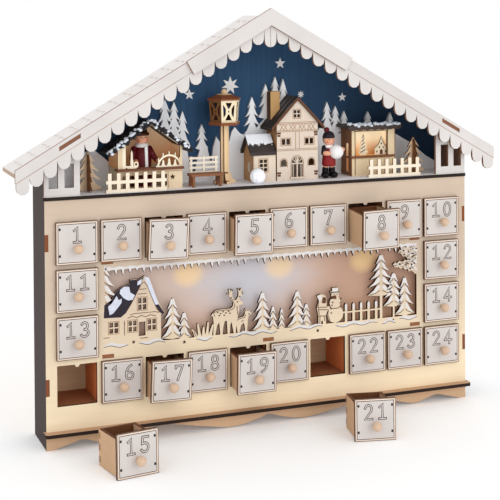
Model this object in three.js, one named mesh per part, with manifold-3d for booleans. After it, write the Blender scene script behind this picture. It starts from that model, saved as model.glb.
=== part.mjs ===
// A wooden advent calendar: a plywood cabinet with a drawer for each day round a fretwork
// window, and above it a village under an open gable roof. Millimetres, +X right, +Y back, +Z up.

import * as THREE from 'three';
import { mergeVertices } from 'three/addons/utils/BufferGeometryUtils.js';
import Module from 'manifold-3d';

const wasm = await Module();
wasm.setup();

// Driving dimensions of the cabinet
const PLY = 3;                    // plywood of the boards
const THIN_PLY = 2;               // plywood of the village pieces
const FIT = 0.3;                  // gap between a piece and the seat that it is cut to
const COLUMNS = 10;               // drawers in the top and bottom rows
const DRAWER_FRONT = 36;          // side of the square drawer front
const FRONT_GAP_X = 2.5;          // between fronts in a row
const FRONT_GAP_Z = 4;            // between the rows
const EDGE_MARGIN = 8.75;         // from the outer fronts to the panel's ends
const SILL_HEIGHT = 35.2;         // underside of the bottom row of fronts
const HEAD_MARGIN = 18.3;         // from the top row of fronts to the stage floor
const BODY_DEPTH = 48;            // front face to back face
const LEDGE_HEIGHT = 12.5;        // underside of the ledge
const LEDGE_LIP = 8;              // the ledge stands out in front
const STAGE_LIP = 2;              // the stage floor stands out in front
const END_LIP = 2;                // ledge past the sides
const STAGE_END_LIP = 1;          // stage floor past the sides
const FOOT_WIDTH = 6;             // flat end of the wavy apron

// Driving dimensions of a drawer
const FRONT_OVERLAP = 1.8;        // front past the tray on each side
const TRAY_HEIGHT = 29.5;
const TRAY_DEPTH = 37;
const SIDE_PLAY = 1;              // tray to mouth on each side
const SHELF_STEP = 0.7;           // shelf top above the front's lower edge
const MOUTH_HEIGHT = 34.4;
const STOP_RADIUS = 2.3;          // half-round stop in the top of each mouth
const KNOB_RADIUS = 4.1;
const KNOB_HEIGHT = 13.8;         // above the front's lower edge

// Driving dimensions of the roof
const APEX_HEIGHT = 369;
const SIDE_RISE = 41.03;          // stage floor to the roof line over the sides, which sets the pitch
const EAVE_OVERHANG = 25.8;       // past the cabinet's side
const FASCIA_HEIGHT = 9.3;        // across the grain of the outer boards
const CENTRE_FASCIA_HEIGHT = 13;
const CENTRE_FASCIA_REACH = 75;   // from the apex to the middle of its cut end
const FASCIA_STEP = 1.4;          // outer boards lie lower than the centre board
const PANEL_DROP = 4.6;           // roof panels lie lower than the apex
const RIDGE_FLAT = 4;             // half width of the flat on the ridge
const TONGUE_WIDTH = 11.6;        // pitch of the scallops
const TONGUE_LENGTH = 13.3;       // below the fascia, at the middle of a tongue
const SLIT_WIDTH = 0.8;
const SLIT_TOP = 2.5;             // a slit starts this far below the fascia
const TRIM_GAP = 0.2;             // seam between the fascia and its tongues
const POST_WIDTH = 30.5;          // window posts at the ends of the stage
const POST_WINDOW = { width: 8, sill: 7, head: 5.5, side: 5.2, bar: 5.5 };

// Driving dimensions of what is inside
const DIFFUSER_THICKNESS = 1.5;
const DIFFUSER_GAP = 5;           // behind the fretwork
const CELL_LENGTH = 50.5;
const CELL_DIAMETER = 14.5;
const CASE_WALL = 1.5;
const SWITCH_TRAVEL = 4;

// Sizes that follow from them
const COLUMN_PITCH = DRAWER_FRONT + FRONT_GAP_X;
const ROW_PITCH = DRAWER_FRONT + FRONT_GAP_Z;
const BODY_HALF = COLUMNS * COLUMN_PITCH / 2 - FRONT_GAP_X / 2 + EDGE_MARGIN;
const INNER_HALF = BODY_HALF - PLY;
const BACK_FACE = BODY_DEPTH - PLY;
const LEDGE_TOP = LEDGE_HEIGHT + PLY;
const TOP_ROW_HEIGHT = SILL_HEIGHT + 3 * ROW_PITCH;
const STAGE_UNDERSIDE = TOP_ROW_HEIGHT + DRAWER_FRONT + HEAD_MARGIN;
const STAGE_TOP = STAGE_UNDERSIDE + PLY;
const TRAY_WIDTH = DRAWER_FRONT - 2 * FRONT_OVERLAP;
const MOUTH_WIDTH = TRAY_WIDTH + 2 * SIDE_PLAY;
const TRAY_LIFT = SHELF_STEP + FIT;
const DIVIDER_END = BACK_FACE - SIDE_PLAY;
const ROOF_SLOPE = (APEX_HEIGHT - STAGE_TOP - SIDE_RISE) / BODY_HALF;
const ROOF_COS = Math.cos(Math.atan(ROOF_SLOPE));
const ROOF_HALF = BODY_HALF + EAVE_OVERHANG;
const FASCIA_FRONT = -3 * PLY - 1;
const ROOF_FRONT = FASCIA_FRONT + PLY;
const PANEL_UNDER_DROP = PANEL_DROP + PLY / ROOF_COS;
const SLOT_PLAY = FIT / 2;
const shelfTop = (row) => SILL_HEIGHT + (3 - row) * ROW_PITCH + SHELF_STEP;
const columnX = (column) => (column - (COLUMNS - 1) / 2) * COLUMN_PITCH;
const roofLine = (x, drop) => APEX_HEIGHT - drop - Math.abs(x) * ROOF_SLOPE;

// The village stands in the room between the window posts, laid out from the back board
const ROOM_HALF = BODY_HALF - POST_WIDTH;
const ROOM_SCALE = ROOM_HALF / 169.5;
const atRoom = (x) => x * ROOM_SCALE;
const fromBack = (distance) => BACK_FACE - distance;

// Colours of the finishes
const paint = (color, roughness) => new THREE.MeshStandardMaterial({ color, roughness, metalness: 0 });
const birch = paint(0xdcbd95, 0.75);
const whiteWood = paint(0xe6e1dc, 0.7);
const greyWood = paint(0x57504b, 0.8);
const skyBlue = paint(0x27486b, 0.8);
const snowWhite = paint(0xf2f4f8, 0.6);
const brownWood = paint(0x8a5533, 0.6);
const frosted = paint(0xc9bfb8, 0.5);
const ledWhite = paint(0xffe2b0, 0.3);
const caseBlack = paint(0x2a2a2c, 0.5);
const coatRed = paint(0x8e2420, 0.4);

// Solids are closed geometries whose shared corners are merged
function toSolid(geometry) {
  const bare = geometry.clone();
  bare.deleteAttribute('normal');
  bare.deleteAttribute('uv');
  const merged = mergeVertices(bare, 1e-4);
  const corners = merged.index.array;
  const triangles = [];
  for (let i = 0; i < corners.length; i += 3) {
    const [a, b, c] = [corners[i], corners[i + 1], corners[i + 2]];
    if (a !== b && b !== c && c !== a) triangles.push(a, b, c);
  }
  return new wasm.Manifold(new wasm.Mesh({
    numProp: 3,
    vertProperties: new Float32Array(merged.attributes.position.array),
    triVerts: new Uint32Array(triangles),
  }));
}

// Facets finer than this carry no shape and are merged
const FINEST = 0.01;
function toGeometry(solid) {
  const mesh = solid.asOriginal().simplify(FINEST).getMesh();
  const geometry = new THREE.BufferGeometry();
  geometry.setAttribute('position', new THREE.BufferAttribute(mesh.vertProperties, 3));
  geometry.setIndex(new THREE.BufferAttribute(mesh.triVerts, 1));
  geometry.computeVertexNormals();
  return geometry;
}

const join = (solids) => solids.reduce((sum, solid) => sum.add(solid));
const cut = (solid, tools) => tools.reduce((rest, tool) => rest.subtract(tool), solid);

function block(x0, x1, y0, y1, z0, z1) {
  const geometry = new THREE.BoxGeometry(x1 - x0, y1 - y0, z1 - z0);
  geometry.translate((x0 + x1) / 2, (y0 + y1) / 2, (z0 + z1) / 2);
  return toSolid(geometry);
}

// Outlines are lists of [u, v] points
const mirrored = (points) => points.map(([u, v]) => [-u, v]).reverse();
const rectangle = (u0, v0, u1, v1) => [[u0, v0], [u1, v0], [u1, v1], [u0, v1]];

function arc(cu, cv, ru, rv, from, to, steps) {
  return Array.from({ length: steps + 1 }, (_, i) => {
    const angle = THREE.MathUtils.degToRad(from + (to - from) * i / steps);
    return [cu + ru * Math.cos(angle), cv + rv * Math.sin(angle)];
  });
}

const circle = (cu, cv, radius, steps) => arc(cu, cv, radius, radius, 0, 360, steps).slice(0, -1);

function star(cu, cv, radius, points, waist) {
  return Array.from({ length: 2 * points }, (_, i) => {
    const reach = i % 2 ? radius * waist : radius;
    const angle = Math.PI / 2 + Math.PI * i / points;
    return [cu + reach * Math.cos(angle), cv + reach * Math.sin(angle)];
  });
}

// A window of small panes, as holes with bars of one width between them
function panes(u0, v0, u1, v1, across, up, bar) {
  const width = (u1 - u0 - bar * (across - 1)) / across;
  const height = (v1 - v0 - bar * (up - 1)) / up;
  const holes = [];
  for (let i = 0; i < across; i++) {
    for (let j = 0; j < up; j++) {
      const u = u0 + i * (width + bar);
      const v = v0 + j * (height + bar);
      holes.push(rectangle(u, v, u + width, v + height));
    }
  }
  return holes;
}

// Points that lie on a straight line between their neighbours are left out
function withoutStraightPoints(points) {
  return points.filter(([u, v], i) => {
    const [a, b] = points.at(i - 1);
    const [c, d] = points[(i + 1) % points.length];
    return Math.abs((u - a) * (d - b) - (v - b) * (c - a)) > 1e-7;
  });
}

function extruded(points, thickness) {
  const corners = withoutStraightPoints(points).map(([u, v]) => new THREE.Vector2(u, v));
  return new THREE.ExtrudeGeometry(new THREE.Shape(corners), { depth: thickness, bevelEnabled: false });
}

// A board is extruded flat, moved to its place, and has its holes cut right through
function board(points, holes, thickness, place) {
  const prism = (outline, from, to) => toSolid(place(extruded(outline, to - from).translate(0, 0, from)));
  return cut(prism(points, 0, thickness), holes.map((hole) => prism(hole, -1, thickness + 1)));
}

// A board facing the front, cut to an outline of x and z
function frontBoard(points, holes, y, thickness = PLY) {
  return board(points, holes, thickness, (flat) => flat.rotateX(Math.PI / 2).translate(0, y + thickness, 0));
}

// A board facing the side, cut to an outline of y and z
function sideBoard(points, holes, x, thickness = PLY) {
  const place = (flat) => flat.rotateX(Math.PI / 2).rotateZ(Math.PI / 2).translate(x, 0, 0);
  return board(points, holes, thickness, place);
}

// A level board, cut to an outline of x and y
function levelBoard(points, z, thickness = PLY) {
  return board(points, [], thickness, (flat) => flat.translate(0, 0, z));
}

// A turned piece standing on z = 0, from a profile of [radius, height]
function turned(profile, segments, x = 0, y = 0, z = 0) {
  const points = profile.map(([radius, height]) => new THREE.Vector2(radius, height));
  const geometry = new THREE.LatheGeometry(points, segments).rotateX(Math.PI / 2);
  return toSolid(geometry.translate(x, y, z));
}

function ball(radius, x, y, z, segments = 10, squash = 1) {
  const geometry = new THREE.SphereGeometry(radius, segments, Math.round(segments * 0.7));
  return toSolid(geometry.rotateX(Math.PI / 2).scale(1, 1, squash).translate(x, y, z));
}

// A rounded bar from one point to another
function limb(radius, from, to) {
  const a = new THREE.Vector3(...from);
  const b = new THREE.Vector3(...to);
  const geometry = new THREE.CapsuleGeometry(radius, a.distanceTo(b), 1, 6);
  const up = new THREE.Vector3(0, 1, 0);
  const turn = new THREE.Quaternion().setFromUnitVectors(up, b.clone().sub(a).normalize());
  geometry.applyQuaternion(turn);
  const middle = a.add(b).multiplyScalar(0.5);
  return toSolid(geometry.translate(middle.x, middle.y, middle.z));
}

const calendar = new THREE.Group();

function addPiece(name, solid, material, x = 0, y = 0, z = 0) {
  const mesh = new THREE.Mesh(toGeometry(solid), material);
  mesh.name = name;
  mesh.position.set(x, y, z);
  calendar.add(mesh);
  return mesh;
}

// Pieces of the village stand on the stage, at a distance from the back board
function addInRoom(name, solid, material, x, distance) {
  return addPiece(name, solid, material, atRoom(x), fromBack(distance), STAGE_TOP);
}

// Drawer mouths, with a stop that hangs in the middle of the upper edge
function mouthCut(column, row) {
  const x = columnX(column);
  const bottom = shelfTop(row);
  const top = bottom + MOUTH_HEIGHT;
  const half = MOUTH_WIDTH / 2;
  const stop = arc(x, top, STOP_RADIUS, STOP_RADIUS, 0, -180, 3);
  const points = [[x - half, bottom], [x + half, bottom], [x + half, top], ...stop, [x - half, top]];
  return frontBoard(points, [], -PLY, 3 * PLY);
}

// Where each numbered drawer sits, and how the photographed ones are drawn out
const LAST_COLUMN = COLUMNS - 1;
const seats = [];
for (let column = 0; column < COLUMNS; column++) seats.push({ number: column + 1, column, row: 0 });
seats.push({ number: 11, column: 0, row: 1 }, { number: 12, column: LAST_COLUMN, row: 1 });
seats.push({ number: 13, column: 0, row: 2 }, { number: 14, column: LAST_COLUMN, row: 2 });
for (let column = 0; column < COLUMNS; column++) seats.push({ number: 15 + column, column, row: 3 });

// Drawn out by a distance, drooping by a pitch and rocked by a roll, in degrees
const drawnOut = {
  3: { out: 9, pitch: 4.5, roll: 1.4 },
  5: { out: 13, pitch: 3, roll: 0 },
  8: { out: 29, pitch: 4.5, roll: -1.2 },
  17: { out: 15, pitch: 2.5, roll: 1.4 },
  19: { out: 18, pitch: 3, roll: 0 },
};

// Standing on the table in front, turned by an angle in degrees
const onTable = {
  15: { x: -145.3, y: -82.6, turn: 9 },
  21: { x: 66.6, y: -76.9, turn: -12 },
};

// Window figures are drawn on a picture 297 wide and 66 high, and fitted to the window
const PICTURE_HALF = 148.5;
const PICTURE_GROUND = 83;
const PICTURE_HEIGHT = 66;
const PICTURE_TOP = PICTURE_GROUND + PICTURE_HEIGHT;
const PICTURE_ROOT = 1.5;         // how far figures run into the window's edges
const WINDOW_MARGIN = 5.5;
const WINDOW_HALF = (COLUMNS / 2 - 1) * COLUMN_PITCH - WINDOW_MARGIN;
const GROUND_BAND = 7.1;
const HEAD_BAND = 3.9;
const WINDOW_BOTTOM = shelfTop(2) + GROUND_BAND;
const WINDOW_TOP = shelfTop(0) - PLY - HEAD_BAND;
const pictureX = (u) => u * WINDOW_HALF / PICTURE_HALF;
const pictureZ = (v) => WINDOW_BOTTOM + (v - PICTURE_GROUND) * (WINDOW_TOP - WINDOW_BOTTOM) / PICTURE_HEIGHT;
const fitPicture = (points) => points.map(([u, v]) => [pictureX(u), pictureZ(v)]);
const figure = (points, holes = []) => frontBoard(fitPicture(points), holes.map(fitPicture), 0);

// A fir in tiers of drooping branches, rooted a little way into what it stands on
const FIR_ROOT = 1.5;
function firOutline(u, base, height, half, tiers, trunk = 0.8, bulge = 0.58) {
  const step = height / tiers;
  const right = [[trunk, base - FIR_ROOT]];
  for (let tier = 0; tier < tiers; tier++) {
    const reach = half * (1 - (tier / (tiers + 0.3)) ** 1.8);
    const foot = base + tier * step;
    right.push([reach, foot]);
    if (bulge) right.push([reach * bulge, foot + step * 0.55]);
    if (tier < tiers - 1) right.push([reach * 0.22, foot + step * 1.4]);
  }
  const whole = [...right, [0, base + height + step * 0.25], ...mirrored(right)];
  return whole.map(([a, b]) => [u + a, b]);
}

const windowFirs = [
  [-89, 85, 32, 10, 4], [-78.6, 84, 20, 6.5, 3], [-5.5, 84, 31, 9.5, 4], [4.5, 84, 18, 5, 3],
  [12.8, 84, 15.5, 3.6, 3], [28, 84, 29.5, 9.5, 4], [36.8, 84, 17.5, 5.5, 3],
  [111.8, 105, 35, 13.5, 5], [124.7, 94, 28, 10.5, 4], [136, 85, 32, 10, 4],
  [-PICTURE_HALF - PICTURE_ROOT, 116, 34, 13, 4],
];

function cottage() {
  const walls = [
    [-150, 81], [-99.5, 81], [-99.5, 107], [-96, 106.5], [-100.5, 114], [-104.5, 124], [-108.5, 135.5],
    [-110.5, 139], [-114, 140.2], [-121, 136.4], [-121, 138], [-127, 138], [-127, 134.2], [-134.5, 132],
    [-139, 129], [-143, 122.5], [-150, 118],
  ];
  const openings = [
    ...panes(-119.8, 111.5, -112.6, 121.5, 2, 2, 1.1), ...panes(-145.2, 93.5, -137.6, 102.5, 2, 2, 1.1),
    ...panes(-128.4, 93.5, -121.4, 102.5, 2, 2, 1.1), ...panes(-111.4, 93.5, -104.2, 102.5, 2, 2, 1.1),
    rectangle(-119.4, 89, -113.4, 101),
  ];
  return figure(walls, openings);
}

function deer() {
  const body = [
    [-51.8, 82], [-50.2, 82], [-48.4, 91], [-46.2, 93.8], [-45.2, 82], [-43.4, 82], [-42.4, 90], [-41, 94.6],
    [-39.2, 94.4], [-38.4, 82], [-36.6, 82], [-36, 90.5], [-34.8, 93.2], [-32.6, 82], [-31, 82], [-30.2, 92],
    [-28.6, 98], [-27.4, 103.6], [-27.8, 107], [-24.2, 108.2], [-24, 109.8], [-27.4, 112.4], [-31.4, 112.2],
    [-33, 109.6], [-33.4, 106.8], [-35.4, 105], [-44, 105.2], [-49.4, 104.6], [-52.2, 102.4], [-53.8, 100.2],
    [-52.2, 99.6], [-51.4, 94],
  ];
  const antler = (side) => [
    [0.2, 111.5], [2.6, 115], [3, 118.4], [2, 121.6], [3.4, 122], [4.4, 119.6], [5.2, 122.2], [6.4, 121.8],
    [5.6, 118.2], [7.2, 119], [7.6, 117.8], [4.6, 114.4], [2.6, 110.8],
  ].map(([reach, v]) => [-31 + side * reach, v]);
  return join([figure(body), figure(antler(-1)), figure(antler(1).reverse())]);
}

function fawn() {
  return figure([
    [-28.8, 82], [-27.4, 82], [-26, 89], [-24, 91.6], [-22.6, 89.6], [-21.8, 82], [-20.4, 82], [-19.6, 91],
    [-19.2, 95.4], [-18.6, 97.6], [-16.2, 98.4], [-16, 99.8], [-18.4, 101.4], [-20, 101.8], [-21.2, 103.8],
    [-22.6, 102.6], [-22, 100], [-23.4, 96.8], [-28, 96.2], [-30.4, 94.8], [-30.6, 91],
  ]);
}

// Bare twigs that fan out from the snow
function bush() {
  const twigs = [[-67, -71.6, 90], [-64, -66, 94.4], [-61, -60.6, 91.4], [-58, -56.4, 95], [-55, -52, 92.6]];
  return join(twigs.map(([root, tip, high]) => figure([
    [root - 1.8, 82], [root + 1.8, 82], [(root + tip) / 2 + 1.1, 87.4], [tip + 0.5, high], [tip - 0.7, high],
    [(root + tip) / 2 - 1.1, 87.8],
  ])));
}

function snowmanAndChild() {
  const child = figure([
    [48.6, 82], [51.2, 82], [51.6, 86], [53, 86], [53.4, 82], [56.2, 82], [56, 90], [57.4, 94], [60, 96],
    [60, 98.4], [56.8, 99], [57.4, 105.4], [55.2, 109], [51.4, 110.4], [47, 109], [49.4, 106], [48.4, 102.4],
    [47.2, 97.4], [48.8, 91],
  ]);
  const middle = 65.4;
  const ballAt = (v, radius) => figure(circle(middle, v, radius, 12));
  const brim = figure(rectangle(middle - 4.8, 110.4, middle + 4.8, 112));
  const crown = figure(rectangle(middle - 3.1, 111, middle + 3.1, 115));
  const armStub = figure([[69, 101.6], [72.6, 104.6], [73.4, 103.6], [70, 100]]);
  return join([child, ballAt(91, 8), ballAt(101.4, 5.6), ballAt(108.4, 3.9), brim, crown, armStub]);
}

function windowFence() {
  const pickets = [76.2, 83.8, 91.4, 99, 106.6].map((u) => figure([
    [u - 1.2, 82], [u + 1.2, 82], [u + 1.2, 98.4], [u, 99.8], [u - 1.2, 98.4],
  ]));
  const rail = figure(rectangle(72, 91, 111.5, 92.4));
  return join([...pickets, rail]);
}

function tallTrunks() {
  return join([
    figure(rectangle(110.4, 82, 113, 107)), figure(rectangle(123.8, 82, 125.6, 96)),
    figure([[133, 82], [139.4, 82], [136.6, 87], [135.4, 87]]),
  ]);
}

// A leafy bough under snow that leans in from the corner of the window
function snowyBranch() {
  const edge = [
    [0, 29], [3.6, 27.4], [6.6, 24.6], [9.6, 25.2], [10.6, 22.6], [13.4, 23.4], [15.4, 21], [18.4, 22.4],
    [20, 20.6], [24.2, 20.2], [25.8, 17.4], [23.4, 15.6], [21.8, 16.8], [19.6, 14.6], [15.8, 15.8],
    [13.6, 14], [11.6, 14.8], [11, 12.4], [13.4, 10.6], [15.6, 11], [17.4, 8.4], [20.4, 7], [19, 4.4],
    [16.4, 4.8],
    [15.2, 2], [11.4, 2.6], [8.4, 0.8], [6, 2.2], [4, -PICTURE_ROOT], [0, -PICTURE_ROOT],
  ];
  return figure(edge.map(([inward, down]) => [PICTURE_HALF + PICTURE_ROOT - inward, PICTURE_TOP - down]));
}

// Icicles of uneven length hang along the head of the window
const ICICLE_PITCH = 6.2;
function icicles() {
  const count = Math.round(2 * PICTURE_HALF / ICICLE_PITCH);
  const width = 2 * PICTURE_HALF / count;
  const tips = [];
  for (let i = 0; i < count; i++) {
    const u = -PICTURE_HALF + (i + 0.5) * width;
    const length = 2.6 + 2.4 * Math.abs(Math.sin(2.4 * i)) + 2.2 * Math.abs(Math.sin(0.9 * i));
    tips.push([u - width * 0.2, PICTURE_TOP - 1.4], [u + width * 0.05, PICTURE_TOP - length]);
    tips.push([u + width * 0.2, PICTURE_TOP - 1.8]);
  }
  const [end, high, low] = [PICTURE_HALF + PICTURE_ROOT, PICTURE_TOP + PICTURE_ROOT, PICTURE_TOP - 1.4];
  return figure([[-end, high], [-end, low], ...tips, [end, low], [end, high]]);
}

// Slots in the front panel, and the tabs of the boards that come through them
const SHELF_TAB_WIDTH = 10;
const SHELF_TAB_X = (COLUMNS / 2 - 1) * COLUMN_PITCH - 7.5;
const SIDE_TAB_LENGTH = 14;
const sideTabHeights = [shelfTop(3) + 9.8, shelfTop(0) + 11.1];
const shelfTabs = { upper: [-SHELF_TAB_X, SHELF_TAB_X], lower: [-SHELF_TAB_X, 0, SHELF_TAB_X] };

function frontPanel() {
  const plate = frontBoard(
    rectangle(-BODY_HALF, LEDGE_TOP, BODY_HALF, STAGE_UNDERSIDE),
    [rectangle(-WINDOW_HALF, WINDOW_BOTTOM, WINDOW_HALF, WINDOW_TOP)], 0);
  const picture = [
    cottage(), deer(), fawn(), bush(), snowmanAndChild(), windowFence(), tallTrunks(), snowyBranch(),
    icicles(), ...windowFirs.map((fir) => figure(firOutline(...fir))),
  ];
  const groundStars = [[-124, 84.2], [-78.5, 79.8], [-27.6, 81.4], [48, 77.6], [84.5, 81], [124, 80]];
  const cuts = seats.map(({ column, row }) => mouthCut(column, row));
  for (const [u, v] of groundStars) {
    cuts.push(frontBoard(star(pictureX(u), pictureZ(v), 1.9, 5, 0.45), [], -PLY, 3 * PLY));
  }
  const slot = (x, top) => block(
    x - SHELF_TAB_WIDTH / 2 - SLOT_PLAY, x + SHELF_TAB_WIDTH / 2 + SLOT_PLAY,
    -PLY, 2 * PLY, top - PLY - SLOT_PLAY, top + SLOT_PLAY);
  for (const x of shelfTabs.upper) cuts.push(slot(x, shelfTop(0)));
  for (const x of shelfTabs.lower) cuts.push(slot(x, shelfTop(2)));
  for (const z of sideTabHeights) {
    const high = z + SIDE_TAB_LENGTH + SLOT_PLAY;
    cuts.push(block(-BODY_HALF - PLY, -INNER_HALF + SLOT_PLAY, -PLY, 2 * PLY, z - SLOT_PLAY, high));
    cuts.push(block(INNER_HALF - SLOT_PLAY, BODY_HALF + PLY, -PLY, 2 * PLY, z - SLOT_PLAY, high));
  }
  return cut(join([plate, ...picture]), cuts);
}

// The side boards run from the table up to the roof
function cabinetSide(x) {
  const tabs = sideTabHeights.flatMap((z) => [
    [PLY, z + SIDE_TAB_LENGTH], [FIT, z + SIDE_TAB_LENGTH], [FIT, z], [PLY, z],
  ].reverse());
  const top = roofLine(INNER_HALF, PANEL_UNDER_DROP);
  const points = [[PLY, 0], ...tabs, [PLY, top], [BODY_DEPTH, top], [BODY_DEPTH, 0]];
  return sideBoard(points, [], x).subtract(roofSpace());
}

// Battery case behind the bottom row, reached through the back board
const CASE_HALF = (CELL_LENGTH + 8) / 2 + CASE_WALL;
const CASE_HEIGHT = CELL_DIAMETER + 2 * CASE_WALL - 0.4;
const CASE_BOTTOM = LEDGE_TOP + FIT;
const CASE_TOP = CASE_BOTTOM + CASE_HEIGHT;
const CASE_BACK = BACK_FACE - FIT;
const CASE_FRONT = CASE_BACK - 2 * CELL_DIAMETER - 2 - CASE_WALL;
const SWITCH_ROOM = 14;
const SWITCH_X = CASE_HALF + SWITCH_ROOM / 2;
const SWITCH_Z = (CASE_BOTTOM + CASE_TOP) / 2;
const NUB = 3;
const hatch = {
  x: CASE_HALF - CASE_WALL - 0.5,
  z0: CASE_BOTTOM + CASE_WALL + 0.2,
  z1: CASE_TOP - CASE_WALL - 0.2,
};

function backBoard() {
  const top = (x) => roofLine(x, PANEL_UNDER_DROP) - FIT;
  const half = INNER_HALF - FIT;
  const points = [[-half, 0], [half, 0], [half, top(half)], [0, top(0)], [-half, top(half)]];
  const reach = (NUB + SWITCH_TRAVEL) / 2 + FIT;
  const high = NUB / 2 + FIT;
  const slot = rectangle(SWITCH_X - reach, SWITCH_Z - high, SWITCH_X + reach, SWITCH_Z + high);
  return frontBoard(points, [rectangle(-hatch.x, hatch.z0, hatch.x, hatch.z1), slot], BACK_FACE);
}

// A level board with a lip in front, which runs in between the sides behind the front board
const LIP_CORNER = 3;
function lippedFloor(z, lip, endLip) {
  const wide = BODY_HALF + endLip;
  const inner = INNER_HALF - FIT;
  const corner = arc(wide - LIP_CORNER, -lip + LIP_CORNER, LIP_CORNER, LIP_CORNER, -90, 0, 4);
  const half = [...corner, [wide, PLY - FIT], [inner, PLY - FIT], [inner, BACK_FACE]];
  return levelBoard([...half, ...mirrored(half)], z);
}

const SNOWBALL_RADIUS = 7.2;
function stageFloor() {
  const snowball = ball(SNOWBALL_RADIUS, atRoom(-6), fromBack(36.5), STAGE_TOP + SNOWBALL_RADIUS * 0.9, 10);
  const above = block(-BODY_HALF, BODY_HALF, -PLY, BODY_DEPTH, STAGE_UNDERSIDE + PLY / 2, APEX_HEIGHT);
  return lippedFloor(STAGE_UNDERSIDE, STAGE_LIP, STAGE_END_LIP).add(snowball.intersect(above));
}

const bottomLedge = () => lippedFloor(LEDGE_HEIGHT, LEDGE_LIP, END_LIP);

// The apron's wave runs from a cusp in the middle out to the flat feet
function plinthApron() {
  const wave = [
    [0, 8.5], [14, 4], [36, 0.6], [68, 5.5], [99, 10.4], [124, 5.4], [145, 0.6], [157, 3.2],
    [169, 6.4], [181, 3.4],
  ];
  const reach = BODY_HALF - FOOT_WIDTH;
  const knots = wave.map(([u, v]) => new THREE.Vector2(u * reach / 194, v));
  knots.push(new THREE.Vector2(reach, 0));
  const edge = new THREE.SplineCurve(knots).getPoints(30).map((p) => [p.x, Math.max(p.y, 0)]);
  const half = [...edge, [BODY_HALF, 0], [BODY_HALF, LEDGE_HEIGHT]];
  return frontBoard([...half, ...mirrored(half).slice(0, -1)], [], 0);
}

// Egg-crate racks that carry the rows of drawers, boards joined edge to edge
const DIVIDER_TOP = MOUTH_HEIGHT - FIT;
const dividerX = (i) => (i - COLUMNS / 2) * COLUMN_PITCH;
const overlap = 0.5;

function shelfWithTabs(half, top, tabs) {
  const board = block(-half, half, PLY, DIVIDER_END, top - PLY, top);
  const reach = SHELF_TAB_WIDTH / 2;
  const tab = (x) => block(x - reach, x + reach, FIT, PLY + overlap, top - PLY, top);
  return join([board, ...tabs.map(tab)]);
}

function dividers(bottom, top) {
  const boards = [];
  for (let i = 0; i <= COLUMNS; i++) {
    const x = dividerX(i);
    boards.push(block(x - PLY / 2, x + PLY / 2, PLY, DIVIDER_END, bottom, top));
  }
  return boards;
}

function upperRack() {
  const top = shelfTop(0);
  return join([
    shelfWithTabs(INNER_HALF - FIT, top, shelfTabs.upper), ...dividers(top - overlap, top + DIVIDER_TOP),
  ]);
}

// The tower of two drawers at each end of the lower rack
function tower(side) {
  const [outer, inner] = [dividerX(COLUMNS) * side, dividerX(COLUMNS - 1) * side];
  const bottom = shelfTop(2) - overlap;
  const top = shelfTop(0) - PLY;
  const wall = (x) => block(x - PLY / 2, x + PLY / 2, PLY, DIVIDER_END, bottom, top);
  const [low, high] = [Math.min(outer, inner), Math.max(outer, inner)];
  const shelf = block(low, high, PLY, DIVIDER_END, shelfTop(1) - PLY, shelfTop(1));
  return join([wall(outer), wall(inner), shelf]);
}

function lowerRack() {
  const floor = shelfTop(3);
  const ceiling = shelfTop(2);
  const half = INNER_HALF - FIT;
  return join([
    block(-half, half, PLY, DIVIDER_END, floor - PLY, floor),
    ...dividers(floor - overlap, ceiling - PLY + overlap),
    shelfWithTabs(half, ceiling, shelfTabs.lower), tower(-1), tower(1),
  ]);
}

const DIFFUSER_FRONT = PLY + DIFFUSER_GAP;
function diffuser() {
  const half = dividerX(COLUMNS - 1) - PLY / 2 - FIT;
  const back = DIFFUSER_FRONT + DIFFUSER_THICKNESS;
  return block(-half, half, DIFFUSER_FRONT, back, shelfTop(2), shelfTop(0) - PLY - FIT);
}

// Lamps on a strip under the upper rack, shining on the back of the diffuser
const LAMP_RADIUS = 2.5;
const LAMP_DROP = 9;
function lampStrip() {
  const top = shelfTop(0) - PLY - FIT;
  const y = DIFFUSER_FRONT + DIFFUSER_THICKNESS + 10;
  const bar = block(-WINDOW_HALF * 0.6, WINDOW_HALF * 0.85, y - 3, y + 3, top - 1.6, top);
  const dome = arc(0, LAMP_DROP - LAMP_RADIUS, LAMP_RADIUS, LAMP_RADIUS, 0, 90, 3);
  const profile = [[0, -overlap], [LAMP_RADIUS, -overlap], ...dome.slice(0, -1), [0, LAMP_DROP]];
  const lamps = [-0.46, 0.135, 0.72].map((share) => {
    const points = profile.map(([r, h]) => new THREE.Vector2(r, h));
    const geometry = new THREE.LatheGeometry(points, 7).rotateX(-Math.PI / 2);
    return toSolid(geometry.translate(share * WINDOW_HALF, y, top - 1.6));
  });
  return join([bar, ...lamps]);
}

function batteryCase() {
  const shell = block(-CASE_HALF, CASE_HALF + SWITCH_ROOM, CASE_FRONT, CASE_BACK, CASE_BOTTOM, CASE_TOP);
  const cells = block(
    -CASE_HALF + CASE_WALL, CASE_HALF - CASE_WALL, CASE_FRONT + CASE_WALL, CASE_BACK + PLY,
    CASE_BOTTOM + CASE_WALL, CASE_TOP - CASE_WALL);
  const pocketHalf = SWITCH_ROOM / 2 - CASE_WALL;
  const pocket = block(
    SWITCH_X - pocketHalf, SWITCH_X + pocketHalf, CASE_BACK - 4, CASE_BACK + PLY,
    SWITCH_Z - 3.5, SWITCH_Z + 3.5);
  return cut(shell, [cells, pocket]);
}

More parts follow.
